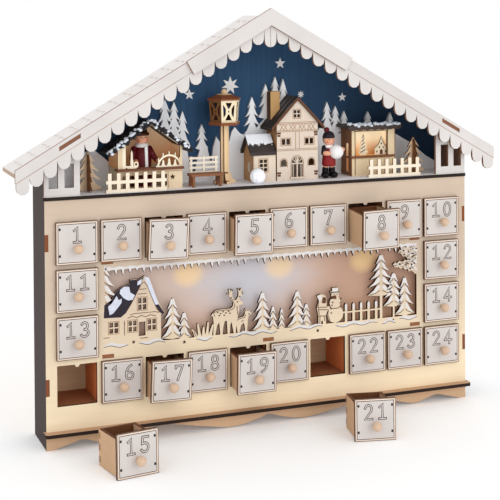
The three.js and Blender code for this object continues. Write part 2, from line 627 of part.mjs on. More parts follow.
// The cover plugs into the hatch and lies flat on the back board
const COVER_FLANGE = 2;
function batteryCover() {
  const outside = BODY_DEPTH + FIT + CASE_WALL;
  const flange = block(
    -hatch.x - COVER_FLANGE, hatch.x + COVER_FLANGE, BODY_DEPTH + FIT, outside,
    hatch.z0 - COVER_FLANGE, hatch.z1 + COVER_FLANGE);
  const plug = block(
    -hatch.x + FIT, hatch.x - FIT, BACK_FACE, BODY_DEPTH + FIT + overlap, hatch.z0 + FIT, hatch.z1 - FIT);
  const grips = [-3, 0, 3].map((x) => block(
    x - 0.6, x + 0.6, outside - overlap, outside + 0.6, SWITCH_Z - 3, SWITCH_Z + 3));
  return join([flange, plug, ...grips]);
}

function powerSwitch() {
  const base = block(-2.5, 2.5, CASE_BACK - 4 + FIT, CASE_BACK - FIT, SWITCH_Z - 3.2, SWITCH_Z + 3.2);
  const half = NUB / 2;
  const nub = block(-half, half, CASE_BACK - 1, BODY_DEPTH + 1.2, SWITCH_Z - half, SWITCH_Z + half);
  return base.add(nub);
}

// Roof boards are drawn for the right side and mirrored for the left
const FASCIA_TAB = { from: BODY_HALF - 29, to: BODY_HALF - 11 };
const forSide = (points, side) => (side > 0 ? points : mirrored(points));

function roofPanel(side) {
  const top = (x) => roofLine(x, PANEL_DROP);
  const under = (x) => roofLine(x, PANEL_UNDER_DROP);
  const ridge = FIT / 2;
  const outline = [
    [ridge, under(ridge)], [ROOF_HALF, under(ROOF_HALF)], [ROOF_HALF, top(ROOF_HALF)],
    [RIDGE_FLAT, top(RIDGE_FLAT)], [ridge, top(RIDGE_FLAT)],
  ];
  const panel = frontBoard(forSide(outline, side), [], ROOF_FRONT, BODY_DEPTH - ROOF_FRONT);
  const { from, to } = FASCIA_TAB;
  const tabOutline = [[from, under(from)], [to, under(to)], [to, top(to)], [from, top(from)]];
  const tab = frontBoard(forSide(tabOutline, side), [], FASCIA_FRONT + FIT, PLY + overlap);
  return panel.add(tab);
}

function outerFascia(side) {
  const drop = FASCIA_STEP / ROOF_COS;
  const lower = drop + FASCIA_HEIGHT / ROOF_COS;
  const start = FIT / 2;
  const outline = [
    [start, roofLine(start, lower)], [ROOF_HALF, roofLine(ROOF_HALF, lower)],
    [ROOF_HALF, roofLine(ROOF_HALF, drop)], [start, roofLine(start, drop)],
  ];
  const [from, to] = [FASCIA_TAB.from - SLOT_PLAY, FASCIA_TAB.to + SLOT_PLAY];
  const [high, low] = [PANEL_DROP - SLOT_PLAY, PANEL_UNDER_DROP + SLOT_PLAY];
  const slot = [
    [from, roofLine(from, low)], [to, roofLine(to, low)],
    [to, roofLine(to, high)], [from, roofLine(from, high)],
  ];
  return frontBoard(forSide(outline, side), [forSide(slot, side)], FASCIA_FRONT);
}

function centreFascia() {
  const lower = CENTRE_FASCIA_HEIGHT / ROOF_COS;
  const lean = CENTRE_FASCIA_HEIGHT * ROOF_SLOPE * ROOF_COS / 2;
  const [topEnd, lowEnd] = [CENTRE_FASCIA_REACH + lean, CENTRE_FASCIA_REACH - lean];
  const right = [[lowEnd, roofLine(lowEnd, lower)], [topEnd, roofLine(topEnd, 0)]];
  const points = [[0, roofLine(0, lower)], ...right, [0, APEX_HEIGHT], ...mirrored(right)];
  return frontBoard(points, [], FASCIA_FRONT - PLY);
}

// Round-ended tongues hang from the fascia's lower edge, with a pointed slit between them
function scallopTrim(side) {
  const lower = (FASCIA_STEP + FASCIA_HEIGHT) / ROOF_COS;
  const top = lower + TRIM_GAP / ROOF_COS;
  const first = TONGUE_WIDTH / 2;
  const count = Math.round((ROOF_HALF - first) / TONGUE_WIDTH);
  const pitch = (ROOF_HALF - FIT - first) / count;
  const radius = (pitch - SLIT_WIDTH) / 2;
  const start = FIT / 2;
  const tip = roofLine(first, lower) - TONGUE_LENGTH;
  const edge = [...arc(start, tip, first - SLIT_WIDTH / 2 - start, radius, -90, 0, 3)];
  for (let i = 0; i < count; i++) {
    const from = first + i * pitch;
    const middle = from + pitch / 2;
    const low = roofLine(middle, lower) - TONGUE_LENGTH + radius;
    edge.push([from, roofLine(from, lower) - SLIT_TOP]);
    edge.push(...arc(middle, low, radius, radius, 180, 360, 5));
  }
  const end = first + count * pitch - SLIT_WIDTH / 2;
  const outline = [...edge, [end, roofLine(end, top)], [start, roofLine(start, top)]];
  return frontBoard(forSide(outline, side), [], FASCIA_FRONT);
}

// Everything that carries the roof stops below its underside
function roofSpace() {
  const high = APEX_HEIGHT + PLY;
  const wide = ROOF_HALF + PLY;
  const drop = PANEL_UNDER_DROP + FIT;
  const low = roofLine(wide, drop);
  const points = [[0, roofLine(0, drop)], [wide, low], [wide, high], [-wide, high], [-wide, low]];
  return frontBoard(points, [], -BODY_DEPTH, 3 * BODY_DEPTH);
}

// A front board with two windows, which stands against the edge of the side board
function gablePost(side) {
  const { width, sill, head, bar } = POST_WINDOW;
  const inner = BODY_HALF - POST_WIDTH;
  const top = roofLine(inner, PANEL_UNDER_DROP);
  const windowTop = roofLine(BODY_HALF, PANEL_UNDER_DROP) - head;
  const span = (a, b) => (side > 0 ? [a, b] : [-b, -a]);
  const windowAt = (x) => {
    const [a, b] = span(x, x + width);
    return rectangle(a, STAGE_TOP + sill, b, windowTop);
  };
  const first = inner + POST_WINDOW.side;
  const windows = [windowAt(first), windowAt(first + width + bar)];
  const [f0, f1] = span(inner, BODY_HALF);
  const front = frontBoard(rectangle(f0, STAGE_TOP, f1, top), windows, 0);
  return front.subtract(roofSpace());
}

// Snow hills with firs stand against the back board
function snowHills() {
  const fit = (points) => points.map(([u, v]) => [u * ROOM_SCALE, STAGE_TOP + v]);
  const ridge = [
    [-193, 0], [-193, 12], [-176, 20], [-160, 29], [-148, 34], [-138, 26], [-128, 16], [-116, 20],
    [-104, 34],
    [-90, 46], [-80, 50], [-68, 44], [-61, 30], [-57, 6], [-54, 5], [-51, 22], [-47, 34],
    [-42, 32], [-38, 14], [-36, 30], [-33, 40], [-29, 34], [-25, 12], [-22, 30], [-18, 44],
    [-15, 48], [-10, 42], [-5, 40], [4, 44], [20, 60], [34, 56], [48, 30], [62, 34],
    [70, 44], [80, 46], [92, 36], [110, 40], [128, 42], [146, 37], [165, 26], [180, 14],
    [193, 6], [193, 0],
  ];
  const firs = [
    [-81.5, 44, 29, 8, 3], [-73, 40, 31, 8, 4], [-65, 34, 28, 7, 3], [-46.8, 30, 20, 6, 3],
    [2, 40, 33, 8.5, 4], [15.5, 56, 28, 7, 3], [25, 58, 33, 7.5, 4], [33, 54, 34, 7, 3],
    [77.4, 42, 24, 6.5, 3], [86, 40, 22, 6.5, 3], [95, 34, 23, 6.5, 3], [120, 38, 18, 6, 3],
    [143.5, 34, 20, 6, 3],
  ];
  const outlines = [ridge, ...firs.map((fir) => firOutline(...fir))];
  const boards = outlines.map((points) => frontBoard(fit(points), [], BACK_FACE - PLY));
  const half = INNER_HALF - FIT;
  return join(boards).intersect(block(-half, half, 0, BACK_FACE, STAGE_TOP, APEX_HEIGHT));
}

// A roof of two slopes, drawn round zero, and the line that the walls under it are cut to
function ridgedRoof(reach, eave, ridge) {
  const slope = (ridge - eave) / reach;
  const cover = THIN_PLY * Math.hypot(1, slope);
  const right = [[reach, eave - cover], [reach, eave]];
  const outline = [[0, ridge - cover], ...right, [0, ridge], ...mirrored(right)];
  const wallTop = (u) => ridge - cover - Math.abs(u) * slope + FIT;
  return { outline, wallTop };
}

// The open stall with a pitched roof, round its own middle
const STALL = { half: 29, front: -15, back: 16, counter: 17, ridge: 60, eave: 33, reach: 37 };
function gabledStall() {
  const { half, front, back, counter, ridge, eave, reach } = STALL;
  const { outline, wallTop } = ridgedRoof(reach, eave, ridge);
  const gable = [[-half, 0], [half, 0], [half, wallTop(half)], [0, wallTop(0)], [-half, wallTop(half)]];
  const [post, rim] = [7, 1];
  const [left, right] = [half - post, half - THIN_PLY];
  const opening = [
    [-left, counter + THIN_PLY], [right, counter + THIN_PLY], [right, wallTop(right) - rim],
    [0, wallTop(0) - rim], [-left, wallTop(left) - rim],
  ];
  const apronStar = star(half - 9, counter * 0.6, 2.8, 5, 0.45);
  const apronSquare = rectangle(half - 2.9, 5, half - 0.9, 8);
  const bayHole = rectangle(-half + 4, 3, half - 14, counter - 4);
  const frontWall = frontBoard(gable, [opening, apronStar, bayHole], front, THIN_PLY);
  const rearWall = frontBoard(gable, [], back - THIN_PLY, THIN_PLY);
  const sideWall = (x) => block(x, x + THIN_PLY, front, back, 0, wallTop(half));
  const top = block(-half - 1, half + 1, front - 2.5, front + 8, counter, counter + THIN_PLY);
  const roof = frontBoard(outline, [], front - 3, back - front + 4);
  const arch = candleArch(half - 12, front, counter + THIN_PLY);
  const candle = candleSleigh(-half + 12.5, front, counter + THIN_PLY);
  return join([frontWall, rearWall, sideWall(-half), sideWall(half - THIN_PLY), top, roof, arch, candle]);
}

// A turned candle on a sleigh with a ring for a handle
function candleSleigh(x, y, z) {
  const profile = [[0, -overlap], [2.2, -overlap], [1.6, 2], [2, 6], [1.4, 8], [1.1, 14], [0, 16]];
  const candle = turned(profile, 8, x, y + 1.5, z);
  const [reach, depth, ring, hole] = [6, 2.6, 2.3, 1.2];
  const sleigh = frontBoard(arc(x, z + depth, reach, depth + overlap, 180, 360, 6), [], y, THIN_PLY);
  const handle = [x + reach - ring, z + depth + hole];
  const grip = frontBoard(circle(...handle, ring, 8), [circle(...handle, hole, 6)], y, THIN_PLY);
  return join([candle, sleigh, grip]);
}

// A candle arch: a half ring with pegs, and small firs and a deer standing in it
function candleArch(x, y, z) {
  const [outer, inner, thickness] = [11, 9.4, 1.4];
  const ring = frontBoard(
    [...arc(x, z, outer, outer, 0, 180, 10), ...arc(x, z, inner, inner, 180, 0, 10)], [], y, thickness);
  const base = block(x - outer - 1, x + outer + 1, y, y + thickness, z - overlap, z + 1.4);
  const pegs = [30, 60, 90, 120, 150].map((angle) => {
    const [[u, v]] = arc(x, z, outer, outer, angle, angle, 1);
    return block(u - 0.45, u + 0.45, y, y + thickness, v - 0.8, v + 2.6);
  });
  const small = (u, height, half) => {
    const outline = firOutline(x + u, z + 1.2, height, half, 2, 0.5, 0);
    return frontBoard(outline, [], y, thickness);
  };
  return join([ring, base, ...pegs, small(-5.4, 5, 1.8), small(0, 6.4, 2), small(5.4, 5, 1.8)]);
}

// The stall with a flat roof, its lit window holding a fir and a chapel
const BOOTH = { half: 22.8, front: -6, back: 16, sill: 16.5, head: 41, roof: 44.5 };
function flatRoofedStall() {
  const { half, front, back, sill, head, roof } = BOOTH;
  const hole = rectangle(-half + 4.5, sill + THIN_PLY, half - 8.5, head);
  const frontWall = frontBoard(rectangle(-half, 0, half, roof), [hole], front, THIN_PLY);
  const rearWall = block(-half, half, back - THIN_PLY, back, 0, roof);
  const doorway = rectangle(front + 6, 4, front + 12, 30);
  const left = sideBoard(rectangle(front, 0, back, roof), [doorway], -half, THIN_PLY);
  const right = block(half - THIN_PLY, half, front, back, 0, roof);
  const counter = block(-half - 1, half - 4, front - 1.6, front + 8, sill, sill + THIN_PLY);
  const eaves = half + 4.5;
  const slab = block(-eaves, eaves, front - 4, back + 1, roof - 0.2, roof + 2.6);
  const scallops = 7;
  const width = 2 * eaves / scallops;
  const edge = Array.from({ length: scallops }, (_, i) => arc(
    -eaves + (i + 0.5) * width, roof, width / 2, 2.2, 180, 360, 4)).flat();
  const skirt = [...edge, [eaves, roof + 1], [-eaves, roof + 1]];
  const valance = frontBoard(skirt, [], front - 4, THIN_PLY);
  const shelf = sill + THIN_PLY - 0.3;
  const fir = frontBoard(firOutline(-8.5, shelf + 1.5, 13, 4, 4, 0.7, 0), [], front + 4, 1.2);
  const chapel = frontBoard([
    [4, shelf], [15, shelf], [15, shelf + 6], [14, shelf + 6.6], [11.2, shelf + 9], [10.2, shelf + 13],
    [9.2, shelf + 15.6], [8.2, shelf + 13], [7.4, shelf + 9], [5, shelf + 6.6], [4, shelf + 6],
  ], [rectangle(8, shelf + 1.6, 10.6, shelf + 5)], front + 4, 1.2);
  return join([frontWall, rearWall, left, right, counter, slab, valance, fir, chapel]);
}

// A two-storey house with its gable to the front, hollow behind its windows
const HOUSE = { half: 20.2, front: -12, back: 13, ridge: 76, reach: 26, eave: 48.5 };
function archedOpening(u, v, half, height) {
  return [[u - half, v], [u + half, v], ...arc(u, v + height - half, half, half, 0, 180, 6)];
}

function house() {
  const { half, front, back, ridge, reach, eave } = HOUSE;
  const { outline, wallTop } = ridgedRoof(reach, eave, ridge);
  const gable = [[-half, 0], [half, 0], [half, wallTop(half)], [0, wallTop(0)], [-half, wallTop(half)]];
  const openings = [
    ...panes(-3.4, 57, 2.6, 63.6, 2, 2, 0.8), ...panes(-15.4, 32.6, -7.4, 37.8, 2, 1, 1),
    ...panes(7.6, 32.6, 15.6, 37.8, 2, 1, 1), archedOpening(-13.6, 12.8, 2.9, 6.6),
    archedOpening(13.6, 12.8, 2.9, 6.6), archedOpening(-0.4, 3, 5.4, 18.6),
  ];
  const frontWall = frontBoard(gable, openings, front, THIN_PLY);
  const rearWall = frontBoard(gable, [], back - THIN_PLY, THIN_PLY);
  const sideWall = (x) => block(x, x + THIN_PLY, front, back, 0, wallTop(half));
  const roof = frontBoard(outline, [], front - 2.5, back - front + 3.5);
  const doorBar = block(-1, 0.2, front, front + THIN_PLY, 2.5, 22);
  const doorRail = block(-6.2, 5.4, front, front + THIN_PLY, 14.6, 15.6);
  const step = block(-7.4, 6.6, front - 1.4, front + 1, 1.4, 3);
  const chimney = block(-20.5, -11.5, back - 11, back - 2, wallTop(20.5) + 1, 80);
  const walls = [frontWall, rearWall, sideWall(-half), sideWall(half - THIN_PLY)];
  return join([...walls, roof, doorBar, doorRail, step, chimney]);
}

// The low annex against the house, with its ridge running across
const ANNEX = { half: 11, front: -11.5, back: 12, ridge: 42, eave: 27, reach: 12.8 };
function annex() {
  const { half, front, back, ridge, eave, reach } = ANNEX;
  const middle = (front + back) / 2;
  const { outline, wallTop } = ridgedRoof(reach, eave, ridge);
  const high = wallTop(back - middle);
  const gable = [[front, 0], [back, 0], [back, high], [middle, wallTop(0)], [front, high]];
  const leftWall = sideBoard(gable, [archedOpening(middle - 2, 8, 3, 10)], -half, THIN_PLY);
  const rightWall = sideBoard(gable, [], half - THIN_PLY, THIN_PLY);
  const window = panes(-4.6, 9.4, 2.6, 20, 2, 3, 0.8);
  const frontWall = frontBoard(rectangle(-half, 0, half, high), window, front, THIN_PLY);
  const rearWall = block(-half, half, back - THIN_PLY, back, 0, high);
  const roof = sideBoard(outline.map(([u, v]) => [u + middle, v]), [], -half - 3, 2 * half + 3 - FIT);
  return join([frontWall, rearWall, leftWall, rightWall, roof]);
}

// A hexagonal lantern: six tapered lattice panes between a base plate and a roof, on a cross post
const LANTERN = { base: 55, height: 20, lowRadius: 13, highRadius: 14.6, roof: 15.8, post: 3.8 };
function latticePane() {
  const { height, lowRadius, highRadius } = LANTERN;
  const [low, high] = [lowRadius / 2, highRadius / 2];
  const outline = [[-low, 0], [low, 0], [high, height], [-high, height]];
  const middle = height / 2;
  const [rimSide, rimEnd] = [1.8, 2.2];
  const waist = 1.2;
  const bow = 70;
  const inner = low - rimSide;
  const sideHole = (side) => forSide([
    [inner, rimEnd + 2], [high - rimSide, height - rimEnd - 2],
    ...arc(inner + 1.2, middle, inner - waist, middle - rimEnd - 1.8, 180 - bow, 180 + bow, 3),
  ], side);
  const endHole = (v, way) => {
    const tip = v + way * 5.2;
    const base = [[1.6 - inner, v], [inner - 1.6, v], [0.6, tip], [-0.6, tip]];
    return way > 0 ? base : base.reverse();
  };
  const eye = arc(0, middle, 0.7, 1.3, 0, 270, 3);
  const holes = [sideHole(1), sideHole(-1), endHole(rimEnd, 1), endHole(height - rimEnd, -1), eye];
  return { outline, holes };
}

function streetLantern() {
  const { base, height, lowRadius, highRadius, roof, post } = LANTERN;
  const apothem = (radius) => radius * Math.cos(Math.PI / 6);
  const lean = Math.atan2(apothem(highRadius) - apothem(lowRadius), height);
  const { outline, holes } = latticePane();
  const thickness = THIN_PLY * 0.8;
  const inward = thickness - apothem(lowRadius);
  const faces = [0, 1, 2, 3, 4, 5].map((i) => board(outline, holes, thickness, (flat) => flat
    .rotateX(Math.PI / 2 + lean).translate(0, inward, base).rotateZ(i * Math.PI / 3)));
  const hexagon = (low, high, z0, z1) => {
    const geometry = new THREE.CylinderGeometry(high, low, z1 - z0, 6, 1);
    geometry.rotateX(Math.PI / 2).rotateZ(Math.PI / 6 + Math.PI / 3);
    return toSolid(geometry.translate(0, 0, (z0 + z1) / 2));
  };
  const plate = hexagon(lowRadius + 1.4, lowRadius + 1.8, base - 2.6, base + 0.4);
  const top = base + height;
  const eaves = hexagon(roof, roof, top - 0.5, top + 1.4);
  const cap = hexagon(roof - 0.6, 6, top + 1.2, top + 5);
  const finial = ball(2.8, 0, 0, top + 6.8, 7);
  const postBoards = [
    block(-post, post, -PLY / 2, PLY / 2, 0, base - 2), block(-PLY / 2, PLY / 2, -post, post, 0, base - 2),
  ];
  const scroll = [[post - 1, 0], [10, 0], [10, 2.4], [7.8, 3], [6, 5.4], [5.4, 9], [post - 1, 11]];
  const feet = [
    frontBoard(scroll, [], -PLY / 2), frontBoard(mirrored(scroll), [], -PLY / 2),
    sideBoard(scroll, [], -PLY / 2), sideBoard(mirrored(scroll), [], -PLY / 2),
  ];
  return join([...faces, plate, eaves, cap, finial, ...postBoards, ...feet]);
}

const BENCH = { half: 13.5, front: -6, back: 6, seat: 9.5, top: 26 };
function bench() {
  const { half, front, back, seat, top } = BENCH;
  const legs = [-half, half - THIN_PLY].map((x) => sideBoard([
    [front, 0], [front + 3, 0], [front + 3.6, 5], [back - 3.6, 5], [back - 3, 0], [back, 0],
    [back, seat + 0.2], [front, seat + 0.2],
  ], [], x, THIN_PLY));
  const seatBoard = block(-half - 1.5, half + 1.5, front - 1, back, seat, seat + THIN_PLY);
  const slat = (z) => block(-half, half, back - 1.6, back, seat + z, seat + z + THIN_PLY);
  const slats = [1.4, 5.6, 9.8, 14].map(slat);
  const uprights = [-half + 1, -1, half - 3].map((x) => block(x, x + 2, back - 1.6, back, seat + 0.5, top));
  return join([...legs, seatBoard, ...slats, ...uprights]);
}

const FENCE = { pickets: 7, pitch: 7.9, picket: 3.2, height: 16.5 };
function picketFence() {
  const { pickets, pitch, picket, height } = FENCE;
  const half = (pickets - 1) * pitch / 2;
  const boards = Array.from({ length: pickets }, (_, i) => {
    const x = -half + i * pitch;
    return frontBoard(rectangle(x - picket / 2, 0, x + picket / 2, height), [], 0, THIN_PLY);
  });
  const reach = half + picket / 2 + 1.6;
  const rail = (z0, z1) => block(-reach, reach, 0, THIN_PLY, z0, z1);
  return join([...boards, rail(0, 2.6), rail(7.4, 10.2)]);
}

// Two firs slotted together at right angles
function crossedTree() {
  const outline = firOutline(0, 1.5, 30, 13, 4, 3);
  const across = frontBoard(outline, [], -THIN_PLY / 2, THIN_PLY);
  const along = sideBoard(outline, [], -THIN_PLY / 2, THIN_PLY);
  return across.add(along);
}

// A turned figure of a stall keeper behind the counter
function stallKeeper() {
  const coat = turned([[0, 0], [8, 0], [9, 4], [8.4, 20], [8.8, 26], [7, 33], [4.4, 37.5], [0, 39]], 9);
  const head = ball(6, 0, -0.5, 43.4, 9);
  const brim = turned([[0, 46.2], [6.6, 46.2], [6.8, 47.4], [0, 47.8]], 9);
  const crown = turned([[0, 47.2], [5.2, 47.2], [4.8, 50.4], [2.4, 52], [0, 52.2]], 9);
  const arms = [
    limb(2.7, [-7, 0, 34], [-9.4, -4.4, 26]), limb(2.7, [7, 0, 34], [10.5, -4.2, 27]),
    limb(2.4, [-9.4, -4.4, 26], [-6, -6.2, 23.2]), limb(2.4, [10.5, -4.2, 27], [12.6, -5, 23.4]),
  ];
  return join([coat, head, brim, crown, ...arms]);
}

// A child in boots and a bobble hat, with both arms round a big snowball
const HELD_BALL = 6.4;
function snowballChild() {
  const boots = [-3.4, 3.4].map((x) => {
    const foot = ball(4.4, x * 1.25, -1.6, 2.6, 7, 0.75);
    return join([foot, limb(3, [x, 0.6, 3.4], [x, 0.6, 9])]);
  });
  const floor = block(-20, 20, -20, 20, 0, 60);
  const coat = turned([[0, 9], [5.8, 9], [6.4, 12], [6, 17], [5, 24], [3, 30.5], [0, 32]], 8);
  const head = ball(5.2, 0, -0.4, 35, 8);
  const hat = turned([[0, 36.6], [5.5, 36.6], [5.5, 38.6], [4, 41.6], [0, 43]], 8);
  const bobble = ball(2.6, -2, 0, 44.2, 6);
  const snow = ball(HELD_BALL, 4.6, -6.6, 24.4, 9);
  const arms = [
    limb(2.3, [-4.6, 0, 28], [-6.8, -3.6, 23.4]), limb(2.2, [4.6, 0, 28], [12.8, -2.2, 25.8]),
    limb(2.2, [-6.8, -3.6, 23.4], [-3.4, -8, 23.6]),
  ];
  return join([...boots, coat, head, hat, bobble, snow, ...arms]).intersect(floor);
}

// The square drawer: a tray glued behind its front, with a turned knob
function drawer() {
  const half = DRAWER_FRONT / 2;
  const tray = TRAY_WIDTH / 2;
  const top = TRAY_LIFT + TRAY_HEIGHT;
  const front = block(-half, half, -PLY, 0, 0, DRAWER_FRONT);
  const walls = block(-tray, tray, -overlap, TRAY_DEPTH, TRAY_LIFT, top);
  const inside = block(-tray + PLY, tray - PLY, 0, TRAY_DEPTH - PLY, TRAY_LIFT + PLY, top + PLY);
  const neck = KNOB_RADIUS * 0.45;
  const round = arc(0, neck + KNOB_RADIUS, KNOB_RADIUS, KNOB_RADIUS, -40, 90, 2).slice(0, -1);
  const profile = [[0, -overlap], [neck, -overlap], ...round, [0, neck + 2 * KNOB_RADIUS]];
  const points = profile.map(([r, h]) => new THREE.Vector2(r, h));
  const geometry = new THREE.LatheGeometry(points, 7).rotateX(Math.PI);
  const knob = toSolid(geometry.translate(0, -PLY, KNOB_HEIGHT));
  return join([walls.subtract(inside), front, knob]);
}

const degrees = THREE.MathUtils.degToRad;
function addDrawers() {
  const geometry = toGeometry(drawer());
  for (const { number, column, row } of seats) {
    const mesh = new THREE.Mesh(geometry, whiteWood);
    mesh.name = `drawer_${String(number).padStart(2, '0')}`;
    const seatZ = shelfTop(row) - SHELF_STEP;
    const drawn = drawnOut[number];
    const loose = onTable[number];
    if (drawn) {
      const [pitch, roll] = [degrees(drawn.pitch), degrees(drawn.roll)];
      const rocked = Math.abs(Math.sin(roll)) * TRAY_WIDTH / 2;
      mesh.rotation.set(pitch, roll, 0);
      const droop = drawn.out * Math.sin(pitch);
      mesh.position.set(columnX(column), -FIT - drawn.out * Math.cos(pitch), seatZ - droop + rocked);
    } else if (loose) {
      const settle = Math.atan2(TRAY_LIFT, TRAY_DEPTH);
      mesh.rotation.order = 'ZXY';
      mesh.rotation.set(-settle, 0, degrees(loose.turn));
      mesh.position.set(atCabinet(loose.x), loose.y, 0);
    } else {
      mesh.position.set(columnX(column), -FIT, seatZ);
    }
    calendar.add(mesh);
  }
}
const atCabinet = (x) => x * BODY_HALF / 200;

addDrawers();

addPiece('front_panel', frontPanel(), birch);
addPiece('side_board_left', cabinetSide(-BODY_HALF), greyWood);
addPiece('side_board_right', cabinetSide(INNER_HALF), greyWood);
addPiece('back_board', backBoard(), skyBlue);
addPiece('stage_floor', stageFloor(), birch);
addPiece('bottom_ledge', bottomLedge(), birch);
addPiece('plinth_apron', plinthApron(), birch);
addPiece('rack_upper', upperRack(), birch);
addPiece('rack_lower', lowerRack(), birch);
addPiece('light_diffuser', diffuser(), frosted);
addPiece('lamp_strip', lampStrip(), ledWhite);
addPiece('battery_case', batteryCase(), caseBlack);
addPiece('battery_cover', batteryCover(), caseBlack);
addPiece('power_switch', powerSwitch(), caseBlack, SWITCH_X - SWITCH_TRAVEL / 2);

addPiece('roof_panel_left', roofPanel(-1), whiteWood);
addPiece('roof_panel_right', roofPanel(1), whiteWood);
addPiece('fascia_centre', centreFascia(), whiteWood);
addPiece('fascia_left', outerFascia(-1), whiteWood);
addPiece('fascia_right', outerFascia(1), whiteWood);
addPiece('scallop_trim_left', scallopTrim(-1), whiteWood);
addPiece('scallop_trim_right', scallopTrim(1), whiteWood);
addPiece('window_post_left', gablePost(-1), whiteWood);
addPiece('window_post_right', gablePost(1), whiteWood);

addPiece('snow_hills', snowHills(), snowWhite);
addInRoom('gabled_stall', gabledStall(), birch, -105, 20.5);
addInRoom('stall_keeper', stallKeeper(), coatRed, -107.5, 17);
addInRoom('flat_roofed_stall', flatRoofedStall(), birch, 114, 20);
addInRoom('street_lantern', streetLantern(), birch, -31.5, 20.5);
addInRoom('bench', bench(), brownWood, -54, 33);
addInRoom('house', house(), birch, 36, 17);
addInRoom('house_annex', annex(), birch, 4, 16.5);
addInRoom('snowball_child', snowballChild(), coatRed, 68, 27);
addInRoom('crossed_tree_left', crossedTree(), birch, -157, 21);
addInRoom('crossed_tree_right', crossedTree(), birch, 157, 23);
addInRoom('fence_left', picketFence(), birch, -119, 41);
addInRoom('fence_right', picketFence(), birch, 128.5, 41);

// The origin is the middle of the underside of the whole model's box
calendar.updateMatrixWorld(true);
const bounds = new THREE.Box3().setFromObject(calendar, true);
calendar.position.set(-(bounds.min.x + bounds.max.x) / 2, -(bounds.min.y + bounds.max.y) / 2, -bounds.min.z);
calendar.updateMatrixWorld(true);

export default calendar;
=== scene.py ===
import math
import random

import bmesh
import bpy
from bpy.props import FloatProperty, FloatVectorProperty, IntProperty, PointerProperty
from mathutils import Matrix, Vector


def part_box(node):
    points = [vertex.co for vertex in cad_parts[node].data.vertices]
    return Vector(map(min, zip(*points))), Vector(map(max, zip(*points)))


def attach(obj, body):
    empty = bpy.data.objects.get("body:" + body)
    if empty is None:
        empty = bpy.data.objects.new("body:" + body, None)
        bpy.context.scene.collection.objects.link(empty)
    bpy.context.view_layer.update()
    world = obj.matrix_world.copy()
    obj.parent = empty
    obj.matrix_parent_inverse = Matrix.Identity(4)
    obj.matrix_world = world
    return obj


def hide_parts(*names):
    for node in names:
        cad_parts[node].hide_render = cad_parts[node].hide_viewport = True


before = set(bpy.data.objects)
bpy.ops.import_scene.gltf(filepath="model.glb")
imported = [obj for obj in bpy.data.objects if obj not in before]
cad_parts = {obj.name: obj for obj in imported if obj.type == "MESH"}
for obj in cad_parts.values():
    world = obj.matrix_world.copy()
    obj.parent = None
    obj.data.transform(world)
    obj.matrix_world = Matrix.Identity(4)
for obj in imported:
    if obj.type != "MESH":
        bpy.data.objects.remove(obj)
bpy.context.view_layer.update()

bl_info = {
    "name": "Advent calendar dressing",
    "version": (1, 1, 0),
    "blender": (4, 5, 0),
    "location": "View3D > Sidebar > Advent",
    "description": "Finishes the plywood advent calendar round its CAD frame",
    "category": "Object",
}

MM = 0.001
CABINET = "cabinet"
PANEL_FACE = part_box("front_panel")[0][1] / MM
TO_FRAME = Matrix.Scale(MM, 4) @ Matrix.Translation((0.0, PANEL_FACE, 0.0))
PLY = 3.0
THIN_PLY = 2.0
STAGE_TOP = (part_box("stage_floor")[0][2] / MM) + PLY
BACK_FACE = 45.0
HAIR = 0.14
SHEEN = 0.18
BLACK = (0.0, 0.0, 0.0, 1.0)


def linear(code, shade=1.0):
    """A screen colour such as 'd2c3a4' as the shader's linear red, green, blue and alpha."""
    parts = [int(code[i:i + 2], 16) / 255 for i in (0, 2, 4)]
    parts = [c / 12.92 if c <= 0.04045 else ((c + 0.055) / 1.055) ** 2.4 for c in parts]
    return tuple(min(c * shade, 1.0) for c in parts) + (1.0,)


# Shader maths

class Value:
    """A shader socket that takes part in Python expressions."""

    def __init__(self, finish, socket):
        self.finish = finish
        self.socket = socket

    def maths(self, operation, *operands):
        return self.finish.node("ShaderNodeMath", {"operation": operation}, *operands)

    def __add__(self, other):
        return self.maths("ADD", self, other)

    __radd__ = __add__

    def __sub__(self, other):
        return self.maths("SUBTRACT", self, other)

    def __rsub__(self, other):
        return self.maths("SUBTRACT", other, self)

    def __mul__(self, other):
        return self.maths("MULTIPLY", self, other)

    __rmul__ = __mul__

    def __abs__(self):
        return self.maths("ABSOLUTE", self)

    def most(self, other):
        return self.maths("MAXIMUM", self, other)

    def sine(self):
        return self.maths("SINE", self)


